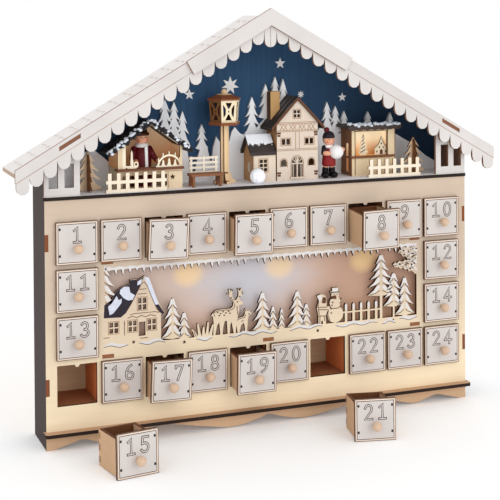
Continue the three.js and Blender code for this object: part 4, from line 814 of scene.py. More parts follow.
DIGITS["9"] = [[(0.62 - x, 1.0 - z) for x, z in line] for line in DIGITS["6"]]

DRAWN_OUT = {3: (4.5, 1.4), 5: (3.0, 0.0), 8: (4.5, -1.2), 17: (2.5, 1.4), 19: (3.0, 0.0)}
ON_TABLE = {15: 9.0, 21: -12.0}
TRAY_LIFT = 1.0
TRAY_HEIGHT = 29.5
TRAY_DEPTH = 37.0
TRAY_HALF = 16.2
KNOB_HEIGHT = 13.8
NUMERAL_FOOT = 17.8
NUMERAL_PITCH = 0.88
NUMERAL_MIDDLE = 0.31
BRINK = 0.35


def tray(piece):
    """The open box behind the front."""
    low = (-TRAY_HALF, 0.0, TRAY_LIFT)
    high = (TRAY_HALF, TRAY_DEPTH, TRAY_LIFT + TRAY_HEIGHT)
    faces = {face for vert in piece.box(low, high) for face in vert.link_faces}
    top = next(face for face in faces if face.normal.z > 0.9)
    bmesh.ops.inset_individual(piece.bm, faces=[top], thickness=PLY, use_even_offset=True)
    grown = bmesh.ops.extrude_discrete_faces(piece.bm, faces=[top])
    floor = grown["faces"][0]
    bmesh.ops.translate(piece.bm, verts=floor.verts, vec=(0.0, 0.0, PLY - TRAY_HEIGHT))
    piece.dress("tray")
    for x in (-TRAY_HALF, TRAY_HALF):
        for step in range(3):
            z = TRAY_LIFT + 3.0 + step * 9.5
            piece.block((x - HAIR, TRAY_DEPTH - PLY, z), (x + HAIR, TRAY_DEPTH + HAIR, z + 5.0), "burn_soft")


def drawer_front(piece, side, inset):
    """The square front with its washed field, engraved frame and tab ends."""
    half = side / 2
    piece.block((-half, -PLY, 0.0), (half, 0.0, side), "drawer_rim", 0.2)
    field = rectangle(inset - half, half - inset, inset, side - inset)
    piece.cutout(field[:-1], -PLY, "drawer_wash", 0.06)
    piece.ribbon(field, 0.5, -PLY, "engraved", 0.12)
    brink = rectangle(BRINK - half, half - BRINK, BRINK, side - BRINK)
    piece.ribbon(brink, 0.42, -PLY, "burn", 0.08)
    for x in (-half + 3.3, half - 3.3):
        for z in (7.8, side - 5.8):
            piece.block((x - 0.85, -PLY - 0.17, z - 1.05), (x + 0.85, -PLY + 0.2, z + 1.05), "char", 0.08)


def knob(piece, radius):
    """The ball knob on its short neck."""
    neck = radius * 0.45
    ball = arc(0.0, neck + radius, radius, radius, -60, 90, 10)
    foot = [(0.0, -0.4), (neck * 1.25, -0.4), (neck, neck * 0.5)]
    profile = foot + ball[:-1] + [(0.0, neck + 2 * radius)]
    forward = Matrix.Translation((0.0, -PLY, KNOB_HEIGHT)) @ Matrix.Rotation(math.pi / 2, 4, "X")
    piece.turned(profile, "beech", forward)


def numerals(piece, number, height):
    """Outlined numerals: a burnt line with a paler one laid in it."""
    text = str(number)
    pitch = height * NUMERAL_PITCH
    start = -pitch * (len(text) - 1) / 2 - NUMERAL_MIDDLE * height
    lines = [[(start + index * pitch + x * height, NUMERAL_FOOT + z * height) for x, z in line]
             for index, digit in enumerate(text) for line in DIGITS[digit]]
    piece.layer = 0
    piece.engrave(lines, 2.1, -PLY, "engraved", 0.10)
    piece.layer = 0
    piece.engrave(lines, 0.9, -PLY, "drawer_wash", 0.20)


def place_drawer(number):
    """Turns a drawer as its CAD node is turned, and centres it on that node."""
    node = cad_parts["drawer_%02d" % number]
    pitch, roll = DRAWN_OUT.get(number, (0.0, 0.0))
    turn = Matrix.Rotation(math.radians(pitch), 4, "X") @ Matrix.Rotation(math.radians(roll), 4, "Y")
    if number in ON_TABLE:
        settle = math.atan2(TRAY_LIFT, TRAY_DEPTH)
        turn = Matrix.Rotation(math.radians(ON_TABLE[number]), 4, "Z") @ Matrix.Rotation(-settle, 4, "X")
    back = turn.inverted().to_3x3()
    corners = [back @ vert.co for vert in node.data.vertices]
    low = [min(c[i] for c in corners) for i in range(3)]
    high = [max(c[i] for c in corners) for i in range(3)]
    spot = Vector(((low[0] + high[0]) / 2, high[1] - TRAY_DEPTH * MM, low[2]))
    spot = (turn @ spot) / MM - Vector((0.0, PANEL_FACE, 0.0))
    return Matrix.Translation(spot) @ turn


class ADVENT_OT_drawers(bpy.types.Operator):
    """Model the numbered drawers"""
    bl_idname = "advent.drawers"
    bl_label = "Drawers"

    def execute(self, context):
        size = context.scene.advent_drawers
        for number in range(1, 25):
            piece = Piece()
            tray(piece)
            drawer_front(piece, size.front / MM, size.frame_inset / MM)
            knob(piece, size.knob / MM)
            numerals(piece, number, size.numeral / MM)
            name = "drawer_%02d" % number
            piece.build(name + "_dressed", name, "white_wood", name, matrix=place_drawer(number))
        return {"FINISHED"}


# Fretwork picture

FIRS = (
    (-89, 85, 32, 10, 4), (-78.6, 84, 20, 6.5, 3), (-5.5, 84, 31, 9.5, 4), (4.5, 84, 18, 5, 3),
    (12.8, 84, 15.5, 3.6, 3), (28, 84, 29.5, 9.5, 4), (36.8, 84, 17.5, 5.5, 3),
    (111.8, 105, 35, 13.5, 5), (124.7, 94, 28, 10.5, 4), (136, 85, 32, 10, 4),
)


BRANCH_SNOW = (
    (0.97, 0.03), (0.62, 0.47), (0.44, 0.84), (0.27, 1.2), (0.06, 1.12), (0.16, 0.72), (0.46, 0.3),
)
BRANCH_TWIG = ((0.82, 0.05), (0.4, 0.2), (0.12, 0.5))


def fir_snow(piece, u, base, height, half, tiers, sides=(-1, 1)):
    """Snow on the branches and tip of a flat fir, with engraved twigs."""
    rise = height / tiers
    for tier in range(tiers):
        reach = half * (1 - (tier / (tiers + 0.3)) ** 1.8)
        foot = base + tier * rise
        for side in sides:
            snow, twig = ([(u + side * reach * a, foot + rise * b) for a, b in shape]
                          for shape in (BRANCH_SNOW, BRANCH_TWIG))
            piece.cutout(snow, 0.0, "window_snow")
            piece.engrave([twig], 0.5, 0.0, "burn")
    if len(sides) < 2:
        return
    foot = base + (tiers - 1) * rise
    reach = half * (1 - ((tiers - 1) / (tiers + 0.3)) ** 1.8)
    tip = [(u - reach * 0.5, foot + rise * 0.55), (u + reach * 0.5, foot + rise * 0.55),
           (u, base + height + rise * 0.2)]
    piece.cutout(tip, 0.0, "window_snow", 0.2)


def drift(piece, left, right, low, seed):
    """A long drift of snow with a wavy line engraved under it."""
    steps = max(int((right - left) / 3.2), 6)
    xs = [left + (right - left) * i / steps for i in range(steps + 1)]
    taper = [math.sin(math.pi * (i + 0.35) / (steps + 0.7)) for i in range(steps + 1)]
    under = [low + 1.1 * math.sin(i * 1.15 + seed) for i in range(steps + 1)]
    over = [z + 0.5 + 2.5 * t for z, t in zip(under, taper)]
    piece.cutout(list(zip(xs, under)) + list(zip(xs, over))[::-1], 0.0, "window_snow")
    piece.engrave([list(zip(xs, under))], 0.45, 0.0, "cottage_roof")


ICICLE_PITCH = 6.2
PICTURE_HALF = 148.5
PICTURE_TOP = 149.0


def icicle_snow(piece):
    """White paint on the row of icicles."""
    count = round(2 * PICTURE_HALF / ICICLE_PITCH)
    width = 2 * PICTURE_HALF / count
    points = [(-PICTURE_HALF, PICTURE_TOP + 0.7), (-PICTURE_HALF, PICTURE_TOP - 1.2)]
    for i in range(count):
        u = -PICTURE_HALF + (i + 0.5) * width
        length = 2.6 + 2.4 * abs(math.sin(2.4 * i)) + 2.2 * abs(math.sin(0.9 * i))
        points += [(u - width * 0.19, PICTURE_TOP - 1.3), (u + width * 0.05, PICTURE_TOP + 0.3 - length),
                   (u + width * 0.19, PICTURE_TOP - 1.7)]
    points += [(PICTURE_HALF, PICTURE_TOP - 1.2), (PICTURE_HALF, PICTURE_TOP + 0.7)]
    for i in range(2 * count - 1, 0, -1):
        points.append((-PICTURE_HALF + i * width / 2, PICTURE_TOP + 0.8 + 0.5 * math.sin(i * 1.9)))
    piece.cutout(points, 0.0, "window_snow")


def cottage_paint(piece):
    """Dark roof, snow patches and engraved boards of the cottage in the window."""
    roof = [(-150, 107), (-149.4, 118), (-143, 122.3), (-139, 128.8), (-134.5, 131.8), (-127, 134),
            (-127, 137.6), (-121, 137.6), (-121, 136.3), (-114.2, 139.6), (-116.6, 135), (-121, 126),
            (-126, 117), (-131, 109.5), (-135, 106.4)]
    piece.cutout(roof, 0.0, "cottage_roof")
    right = [(-114.2, 139.8), (-110.5, 138.6), (-108.8, 135.4), (-104.8, 124), (-101.4, 114.6),
             (-104.6, 114.6), (-107.4, 121.4), (-111.5, 132.5)]
    piece.cutout(right, 0.0, "cottage_snow")
    foot = [(-101.4, 114.6), (-96.4, 106.8), (-98.4, 106), (-102, 110), (-104.6, 114.6)]
    piece.cutout(foot, 0.0, "cottage_roof", 0.18)
    patches = (
        [(-144.8, 109.2), (-141.6, 110.6), (-138, 114.6), (-134.4, 119), (-134.2, 122.4), (-137, 121.4),
         (-138.6, 125.2), (-142.6, 119.4), (-146.2, 116.4)],
        [(-136, 127), (-132.4, 122.6), (-128.6, 120.4), (-124.6, 120.6), (-122.6, 124.4), (-126.6, 127),
         (-127.6, 132), (-132, 132.4), (-135.4, 130)],
        [(-120.4, 132.6), (-117.2, 133.6), (-116, 137.8), (-120, 136)],
    )
    for patch in patches:
        piece.cutout(patch, 0.0, "cottage_snow", 0.26)
    lines = (
        [(-131, 109.5), (-126, 117), (-121, 126), (-116.4, 134), (-114.2, 135.2), (-111.5, 131.5),
         (-107, 120), (-103, 110.5), (-100, 107.4)],
        [(-127, 107.8), (-123, 108.6), (-104.5, 108.6), (-101.5, 107.8)],
        [(-129, 105.2), (-125, 106.4), (-121, 105), (-117, 106.4), (-113, 105), (-109, 106.4), (-104, 105)],
        [(-118.4, 129), (-112.6, 129)], [(-120, 125), (-112.6, 125)], [(-132, 103), (-132, 91)],
        [(-118, 87), (-111.5, 87)], [(-150, 90), (-145.4, 90)],
    )
    piece.engrave(lines, 0.5, 0.0, "burn")
    for left, right, low, high in ((-120.6, -111.8, 110.7, 122.3), (-146, -136.8, 92.7, 103.3),
                                   (-129.2, -120.6, 92.7, 103.3), (-112.2, -103.4, 92.7, 103.3)):
        piece.engrave([rectangle(left, right, low, high)], 0.45, 0.0, "burn_soft")


def spots(piece, places, wide, high, y=0.0, steps=6):
    """Small dark ovals."""
    for x, z in places:
        piece.cutout(oval(x, z, wide, high, steps), y, "char")


def animal_paint(piece):
    """Spots and lines on the deer and the fawn."""
    back = ((-47.6, 102.8), (-45, 101.4), (-42.6, 102.9), (-40, 101.6), (-37.4, 102.9), (-46.2, 99.8),
            (-41.6, 99.7), (-36.2, 101))
    spots(piece, back, 0.85, 0.6, steps=8)
    heads = ((-29, 110.4), (-33.4, 112.4), (-34.9, 114.6), (-26.9, 114.8), (-33.8, 121), (-27.6, 121),
             (-37.2, 117.6), (-24.4, 117.6), (-18.2, 98.9), (-21.4, 102))
    spots(piece, heads, 0.55, 0.75, steps=8)
    piece.engrave([
        [(-50.4, 99.4), (-51.4, 102.6), (-48, 104), (-40, 104.2), (-34.4, 103.8), (-32, 106), (-31.6, 109)],
        [(-28.8, 99), (-29.4, 103), (-29.4, 106.6)],
        [(-29.4, 94.2), (-27, 95.4), (-23, 95.8), (-21.4, 98.4)],
        [(-25.6, 92.6), (-23.6, 93.6)], [(-67.8, 83.6), (-69.4, 87.6)], [(-62.6, 83.6), (-62.2, 88)],
    ], 0.5, 0.0, "burn")


def snowman_paint(piece):
    """Hat, scarf, buttons and coat lines of the snowman and the child."""
    spots(piece, ((64.4, 109), (67.4, 109)), 0.45, 0.45)
    spots(piece, ((62.8, 101.8), (62.2, 99.2), (61.4, 92.4), (61.2, 96.2)), 0.75, 0.75)
    piece.cutout(rectangle(62.8, 68, 111.4, 114.6)[:-1], 0.0, "window_snow")
    piece.cutout(rectangle(60.8, 70, 110.6, 111.4)[:-1], 0.0, "char", 0.2)
    piece.cutout([(61.6, 105), (66.6, 104.6), (66.4, 108), (62, 107.6)], 0.0, "burn")
    piece.cutout([(52.2, 102), (56, 101.6), (56.4, 106.8), (53, 107.4)], 0.0, "burn")
    piece.cutout([(47.6, 108.8), (51.2, 109.8), (52.4, 106.4), (49.8, 103.6)], 0.0, "window_snow")
    piece.engrave([
        [(49, 104), (48.4, 98.6), (49.6, 92)], [(48.6, 98.6), (56.6, 98)], [(49, 96.4), (57.6, 95.6)],
        [(49.4, 90.6), (55.6, 90.2)], [(50.2, 90), (50, 84)], [(54.6, 90), (54.8, 86)],
        [(57, 105), (57.4, 98.6)], [(60.2, 97.4), (63, 96.2), (68, 96.2), (70.6, 97.4)],
        [(58.6, 95.4), (58, 91), (59.6, 86.6)], [(70, 100.6), (72.6, 103.6)],
    ], 0.6, 0.0, "burn")


BOUGH = (
    (0, 29), (3.6, 27.4), (6.6, 24.6), (9.6, 25.2), (10.6, 22.6), (13.4, 23.4), (15.4, 21), (18.4, 22.4),
    (20, 20.6), (24.2, 20.2), (25.8, 17.4), (23.4, 15.6), (21.8, 16.8), (19.6, 14.6), (15.8, 15.8),
    (13.6, 14), (11.6, 14.8), (11, 12.4), (13.4, 10.6), (15.6, 11), (17.4, 8.4), (20.4, 7), (19, 4.4),
    (16.4, 4.8), (15.2, 2), (11.4, 2.6), (8.4, 0.8), (6, 2.2), (4, 0), (0, 0),
)
BOUGH_MARKS = 84


def bough_paint(piece, seed):
    """Dabs of snow and small dark leaves on the bough in the corner."""
    chance = random.Random(seed)
    outline = [(150.0 - inward, PICTURE_TOP - down) for inward, down in BOUGH]
    placed = 0
    while placed < BOUGH_MARKS:
        x, z = chance.uniform(124.0, 148.6), chance.uniform(121.0, 148.6)
        wide = chance.uniform(0.6, 1.1) if placed % 2 else chance.uniform(0.9, 1.6)
        reach = ((0, 0), (wide, 0), (-wide, 0), (0, wide), (0, -wide))
        if all(holds(outline, x + a, z + b) for a, b in reach):
            finish = "char" if placed % 2 else "window_snow"
            lift = (0.24 if placed % 2 else 0.1) + 0.012 * (placed % 10)
            piece.cutout(oval(x, z, wide, wide * 0.7, 6), 0.0, finish, lift)
            placed += 1


DRIFTS = (
    (-150, -129, 82, 0), (-119, -96, 82, 2), (-67, -53, 80, 1), (-37, 8, 80.6, 3), (21, 52, 81, 5),
    (66, 107, 79.4, 2), (113, 126, 78.6, 4), (131, 149, 80, 1),
)


class ADVENT_OT_picture(bpy.types.Operator):
    """Paint and engrave the fretwork picture"""
    bl_idname = "advent.picture"
    bl_label = "Fretwork picture"

    def execute(self, context):
        piece = Piece()
        icicle_snow(piece)
        cottage_paint(piece)
        animal_paint(piece)
        snowman_paint(piece)
        bough_paint(piece, context.scene.advent_village.seed)
        for fir in FIRS:
            fir_snow(piece, *fir)
        fir_snow(piece, -150, 116, 34, 13, 4, sides=(1,))
        for snow in DRIFTS:
            drift(piece, *snow)
        for u in (76.2, 83.8, 91.4, 99, 106.6):
            top = [(u - 1.1, 95), (u + 1.1, 94), (u + 1.1, 98.4), (u, 99.8), (u - 1.1, 98.4)]
            piece.cutout(top, 0.0, "window_snow")
        piece.build("window_paint", CABINET, "snow_white")
        return {"FINISHED"}


# Cabinet and roof

CABINET_BOARDS = {
    "front_birch": ("front_panel",),
    "plinth_birch": ("plinth_apron",),
    "cabinet_sides": ("side_board_left", "side_board_right"),
    "night_board": ("back_board",),
    "stage_boards": ("stage_floor",),
    "ledge": ("bottom_ledge",),
    "rack": ("rack_upper", "rack_lower"),
    "mist_sheet": ("light_diffuser",),
    "lamp_glass": ("lamp_strip",),
    "case": ("battery_case", "battery_cover", "power_switch"),
}


class ADVENT_OT_cabinet(bpy.types.Operator):
    """Finish the boards of the cabinet"""
    bl_idname = "advent.cabinet"
    bl_label = "Cabinet"

    def execute(self, context):
        for finish, nodes in CABINET_BOARDS.items():
            finish_nodes(finish, *nodes)
        return {"FINISHED"}


APEX = 369.0
ROOF_DROP = 4.6
PITCH = math.radians(30)
FASCIA_FACE = -10.0
SEAM_DROP = 10.7 / math.cos(PITCH)
SEAM_ENDS = (82.0, 225.4)
MARK_GROUPS = 18
MARK_PITCH = 12.0
MARK_ROWS = (-3.0, 13.0, 29.0)
MARK_STAGGER = 5.0


def roof_marks(piece, side):
    """Short engraved dashes in threes on the roof board."""
    turn = Matrix.Rotation(side * PITCH, 4, "Y")
    for index in range(1, MARK_GROUPS + 1):
        x = side * index * MARK_PITCH
        z = APEX - ROOF_DROP - abs(x) * math.tan(PITCH)
        for y in MARK_ROWS:
            shift = MARK_STAGGER if index % 2 else 0.0
            for dash in range(3):
                low = (x - 2.7 + dash * 1.8, y + shift, z - 0.1)
                high = (low[0] + 0.5, low[1] + 3.4 - dash * 0.8, z + 0.12)
                piece.block(low, high, "roof_mark", turn=turn)


class ADVENT_OT_roof(bpy.types.Operator):
    """Finish the gable roof and its trims"""
    bl_idname = "advent.roof"
    bl_label = "Roof"

    def execute(self, context):
        finish_nodes("white_board", "fascia_centre")
        for board in ("fascia", "scallop_trim", "window_post"):
            finish_nodes("white_board", board + "_left", board + "_right")
        finish_nodes("roof_boards", "roof_panel_left", "roof_panel_right")
        marks = Piece()
        for side in (-1, 1):
            roof_marks(marks, side)
            ends = [(side * x, APEX - SEAM_DROP - x * math.tan(PITCH)) for x in SEAM_ENDS]
            marks.engrave([ends], 0.35, FASCIA_FACE, "burn_soft")
        marks.build("roof_marks", CABINET, "brown_wood")
        return {"FINISHED"}


# Village

SKY_STARS = ((-57.6, 291.4, 5.2, 5, 0.42), (-18.2, 298.5, 8.6, 7, 0.45), (31.2, 317.6, 5.4, 5, 0.42),
             (51.8, 288.2, 3.6, 8, 0.5), (94.4, 284.2, 4.4, 5, 0.42))
HOUSE_X = 36.0
STALL_X = -105.0
STALL_RIDGE = 60.0
STALL_SLOPE = 27 / 37
STALL_REACH = 37.0
BOOTH_X = 114.0
LANTERN_X = -31.5
LANTERN_Y = 24.5
STALL_FACE = 9.5
BOOTH_FACE = 19.0
GOODS_FACE = 23.0
GOODS_THICK = 0.5
FIR_X = 105.4
CHAPEL_X = 124.0
BOOTH_SNOW = ((15.4, 0.2), (17.6, 0.6), (20.6, 0.5))
STALL_SNOW = ((6.0, 0.6, 0.2), (5.8, -1.8, 0.7), (8.4, 0.8, 0.2), (11.4, 0.6, 0.4))


class ADVENT_OT_sky(bpy.types.Operator):
    """Put the stars on the night-blue board and finish the hills"""
    bl_idname = "advent.sky"
    bl_label = "Sky and hills"

    def execute(self, context):
        stars = Piece()
        for x, z, radius, points, waist in SKY_STARS:
            stars.cutout(star(x, z, radius, points, waist), BACK_FACE, "white_paint", 0.4)
        stars.build("sky_stars", CABINET, "snow_white")
        finish_nodes("hills", "snow_hills")
        return {"FINISHED"}


def dabs(piece, start, end, count, radius, chance, dark=0.0):
    """Dabs of snow along a roof edge, with a share of dark ones among them."""
    start, end = Vector(start), Vector(end)
    for i in range(count):
        spot = start.lerp(end, (i + 0.5) / count)
        wobble = Vector([chance.uniform(-0.7, 0.7) * radius for _ in range(3)])
        size = radius * chance.uniform(0.75, 1.3)
        finish = "garland_dark" if chance.random() < dark else "roof_snow"
        piece.ball(spot + wobble, size, finish, (1.15, 1.0, 0.85), rings=5, around=7)


def mirrored(half):
    """An outline from its right half, which starts at the foot and ends on the middle line."""
    return list(half) + [(-across, up) for across, up in half[-2::-1]]


def shop_window(piece):
    """The flat fir and chapel in the lit window of the stall."""
    foot = STAGE_TOP + 18.4
    front = GOODS_FACE - GOODS_THICK
    fir = [(0.9, 0.0), (0.9, 2.4)]
    for tier in range(4):
        reach, low = 5.6 * (1 - tier * 0.2), 2.4 + tier * 4.3
        fir += [(reach, low), (reach * 0.35, low + 4.4)]
    fir = mirrored(fir + [(0.0, 20.4)])
    piece.cutout(moved(fir, FIR_X, foot), GOODS_FACE, "goods", GOODS_THICK)
    for tier in range(5):
        low = 3.4 + tier * 3.4
        branch = [(1.6 - tier * 0.3, low + 1.8), (tier * 0.55 - 2.8, low - 0.4)]
        piece.engrave([moved(branch, FIR_X, foot)], 0.8, front, "burn")
    chapel = mirrored([(6.6, 0), (6.6, 6.4), (7.2, 6.4), (3.6, 9.6), (2.0, 12.6), (1.5, 15), (0, 18)])
    piece.cutout(moved(chapel, CHAPEL_X, foot), GOODS_FACE, "goods", GOODS_THICK)
    gable = [(-6.6, 6.8), (-3.4, 9.2), (-1.8, 12.4), (0, 17), (1.8, 12.4), (3.4, 9.2), (6.6, 6.8)]
    piece.engrave([moved(gable, CHAPEL_X, foot)], 0.6, front, "burn")
    panes = ((-4.6, 3), (4.6, 3), (-2, 7), (2, 7), (0, 10.4))
    spots(piece, moved(panes, CHAPEL_X, foot), 0.7, 1.0, front)
    piece.cutout(arched(CHAPEL_X, foot + 0.4, 1.4, 4.6), front, "burn")


class ADVENT_OT_stalls(bpy.types.Operator):
    """Finish the two market stalls"""
    bl_idname = "advent.stalls"
    bl_label = "Market stalls"

    def execute(self, context):
        chance = random.Random(context.scene.advent_village.seed)
        radius = context.scene.advent_village.dab / MM
        finish_nodes("stall", "gabled_stall")
        finish_nodes("booth", "flat_roofed_stall")
        snow = Piece()
        ridge = STAGE_TOP + STALL_RIDGE
        eave = ridge - STALL_REACH * STALL_SLOPE
        for side in (-1, 1):
            for y, lift, dark in STALL_SNOW:
                share = dark if side < 0 else min(dark + 0.3, 0.8)
                start = (STALL_X, y, ridge + lift)
                end = (STALL_X + side * STALL_REACH, y, eave + lift)
                dabs(snow, start, end, 19, radius * 1.15, chance, share)
        top = STAGE_TOP + 47.3
        for y, lift in BOOTH_SNOW:
            dabs(snow, (87.6, y, top + lift), (140.4, y, top + lift), 24, radius * 1.05, chance, 0.08)
        snow.build("stall_snow", CABINET, "snow_white")
        lines = Piece()
        stall = [[(-133.4, 15.4), (-76.6, 15.4)], [(-89, 1), (-89, 15)], [(-104.6, 51.4), (-104.6, 56)]]
        lines.engrave(placed(stall, 0.0), 0.4, STALL_FACE, "burn_soft")
        booth = [[(95.2, 1), (95.2, 43)], [(128.8, 19), (128.8, 43)], [(94.8, 41.5), (129.2, 41.5)]]
        lines.engrave(placed(booth, 0.0), 0.7, BOOTH_FACE, "burn")
        shop_window(lines)
        lines.build("stall_lines", CABINET, "brown_wood")
        return {"FINISHED"}


def face_on(piece, centre, radius):
    """A plain toy face: eyes, nose and cheeks, turned to the front."""
    centre = Vector(centre)
    for side in (-1, 1):
        eye = Vector((side * 0.34, -0.93, 0.12))
        piece.ball(centre + eye * radius, radius * 0.1, "black_paint", rings=6)
        cheek = Vector((side * 0.55, -0.76, -0.24))
        piece.ball(centre + cheek * radius, radius * 0.2, "cheek", (1, 0.5, 1), rings=6)
    nose = Vector((0.0, -1.02, -0.08))
    piece.ball(centre + nose * radius, radius * 0.14, "skin", rings=6)


def keeper(piece):
    """The stall keeper: a turned figure with a hat, scarf and folded arms."""
    coat = [(0, 0), (7.4, 0), (8.6, 3), (8.8, 8), (8.4, 16), (8.7, 25), (8, 30), (6.4, 34), (4.4, 37.2),
            (0, 38.8)]
    piece.turned(coat, "burgundy")
    piece.turned([(0, 35), (5.4, 35), (6.2, 36.8), (5.2, 38.8), (0, 39)], "white_paint")
    lean = Matrix.Rotation(math.radians(-5), 4, "X")
    piece.block((0.4, -9.4, 18), (3.2, -7.4, 36.4), "white_paint", 0.5, lean)
    head = (0.0, -0.5, 43.4)
    piece.ball(head, 5.9, "skin")
    face_on(piece, head, 5.9)
    cap = [(0, 45.8), (6.5, 45.8), (7, 47), (6.2, 48.2), (5.2, 48.6), (4.9, 50.6), (2.6, 52), (0, 52.2)]
    piece.turned(cap, "hair")
    piece.ball((0, 2.2, 43), 5.2, "hair")
    for side, reach in ((-1, -6.6), (1, 12.4)):
        elbow = (side * 10.0, -4.4, 26.6)
        hand = (reach, -6.0, 23.4)
        piece.limb((side * 7.0, 0, 33.8), elbow, 2.8, 2.5, "burgundy")
        piece.limb(elbow, hand, 2.4, 2.1, "burgundy")
        piece.ball((reach + side * 0.6, -6.8, 23.4), 2.3, "glove", rings=8)


def child(piece):
    """The child in a bobble hat, with a snowball in both arms."""
    for side in (-1, 1):
        piece.ball((side * 4.2, -1.6, 3.1), 4.1, "black_paint", (0.95, 1.15, 0.74))
        piece.limb((side * 3.4, 0.6, 3.4), (side * 3.3, 0.6, 8.2), 3.0, 3.0, "black_paint")
        piece.limb((side * 3.1, 0.4, 9), (side * 3.0, 0.4, 12), 2.3, 2.3, "skin")
    dress = [(0, 11.4), (5.9, 11.4), (6.5, 13), (6.1, 17.4), (5.3, 23), (4.4, 27), (3.2, 30), (0, 31.6)]
    piece.turned(dress, "red")
    piece.turned([(0, 27.6), (4.2, 27.6), (4.7, 29.2), (3.6, 30.6), (0, 31)], "white_paint")
    head = (0.0, -0.4, 35.0)
    piece.ball(head, 5.2, "skin")
    face_on(piece, head, 5.2)
    piece.ball((0, 1.4, 35.4), 5.1, "hair")
    hat = [(0, 36.8), (5.4, 36.8), (5.8, 38), (5.4, 39.2), (4.4, 41.4), (2.6, 42.8), (0, 43.2)]
    piece.turned(hat, "charcoal")
    piece.ball((-2, 0, 44.2), 2.6, "burgundy")
    elbow = (-6.8, -3.6, 23.4)
    piece.limb((-4.6, 0, 28), elbow, 2.4, 2.3, "charcoal")
    piece.limb(elbow, (-3.6, -7.6, 23.4), 2.2, 2.0, "skin")
    piece.limb((4.6, 0, 28), (9.4, -1.6, 26.2), 2.3, 2.1, "charcoal")
    piece.limb((10.4, -1.8, 26), (12.8, -2.4, 25.8), 2.1, 2.2, "skin")
    piece.ball((4.6, -6.6, 24.4), 6.5, "white_paint", rings=18)


FIGURES = ((keeper, "stall_keeper", (-107.5, 28.0)), (child, "snowball_child", (68.0, 18.0)))


class ADVENT_OT_figures(bpy.types.Operator):
    """Model the stall keeper and the child"""
    bl_idname = "advent.figures"
    bl_label = "Figures"

    def execute(self, context):
        for shape, node, (x, y) in FIGURES:
            piece = Piece()
            shape(piece)
            spot = Matrix.Translation((x, y, STAGE_TOP))
            piece.build(node + "_turned", CABINET, "coat_red", node, matrix=spot)
        return {"FINISHED"}


HOUSE_FACE = 16.0
ANNEX_X = 4.0
ANNEX_FACE = 17.0


def arched(x, z, half, height):
    """The outline of an opening with a round head, open at its foot."""
    return [(x - half, z)] + arc(x, z + height - half, half, half, 180, 0, 8) + [(x + half, z)]


def house_lines(piece):
    """Engraved timbers, window rims and corner stones on the house."""
    beams = [[(-20, height), (20, height)] for height in (27.2, 28.4, 44.4, 45.4, 51.4, 52.6)]
    for left in (-17, -8, 1, 10):
        for foot, top in ((45.8, 51.2), (51.2, 45.8)):
            beams.append([(left, foot), (left + 3.5, top), (left + 7, foot)])
    beams += [[(side, 44), (side, 28.8)] for side in (-1.8, 1.8)]
    piece.engrave(placed(beams, HOUSE_X), 0.4, HOUSE_FACE, "burn_soft")
    rims = [arched(middle, 12.4, 3.5, 7.8) for middle in (-13.6, 13.6)] + [arched(-0.4, 2.4, 6.1, 20)]
    for window in ((-4.2, 3.4, 56.2, 64.4), (-16.2, -6.6, 31.8, 38.6), (6.8, 16.4, 31.8, 38.6)):
        rims.append(rectangle(*window))
    piece.engrave(placed(rims, HOUSE_X), 0.5, HOUSE_FACE, "burn_soft")
    for height in (4, 40):
        for side in (-1, 1):
            for row, wide in ((0, 1.5), (2.2, 1.9)):
                left, low = HOUSE_X + side * 18.2 - wide, STAGE_TOP + height + row
                high = (left + 2 * wide, HOUSE_FACE + HAIR, low + 1.7)
                piece.block((left, HOUSE_FACE - HAIR, low), high, "burn")
    bars = [[(-0.4, 15.6), arc(-0.4, 16, 5.2, 5.2, angle, angle, 1)[0]] for angle in (35, 65, 115, 145)]
    piece.engrave(placed(bars, HOUSE_X), 0.55, HOUSE_FACE + 0.9, "fence_wood", 0.6)
    jambs = [[(side, 3), (side, 15)] for side in (-4.25, 3.5)]
    piece.engrave(placed(jambs, HOUSE_X), 0.5, HOUSE_FACE + 0.9, "fence_wood", 0.6)


def annex_lines(piece):
    """Window rim and boards on the annex."""
    lines = (rectangle(-5.4, 3.4, 8.6, 20.8), [(-10.4, 3), (-10.4, 24)], [(-10, 24), (10, 24)])
    piece.engrave(placed(lines, ANNEX_X), 0.45, ANNEX_FACE, "burn_soft")


class ADVENT_OT_houses(bpy.types.Operator):
    """Finish the house and its annex"""
    bl_idname = "advent.houses"
    bl_label = "House and annex"

    def execute(self, context):
        finish_nodes("house", "house")
        finish_nodes("annex", "house_annex")
        lines = Piece()
        house_lines(lines)
        annex_lines(lines)
        lines.build("house_lines", CABINET, "brown_wood")
        return {"FINISHED"}


class ADVENT_OT_street(bpy.types.Operator):
    """Finish the lantern, bench, fences and firs"""
    bl_idname = "advent.street"
    bl_label = "Street pieces"

    def execute(self, context):
        finish_nodes("lantern", "street_lantern")
        finish_nodes("fence_wood", "fence_left", "fence_right")
        finish_nodes("crossed_fir", "crossed_tree_left", "crossed_tree_right")
        finish_nodes("bench", "bench")
        return {"FINISHED"}


# Stage: floor, light and camera

CAMERA_SPOT = (-421.8, -1065.5, 370.6)
CAMERA_YAW = 0.3643
CAMERA_PITCH = 0.0159
CAMERA_ROLL = -0.0068
CAMERA_SHIFT = -0.446
FILL_SHARE = 0.22
FLOOR_GLOW = 0.12
FLOOR_HALF = 6.0


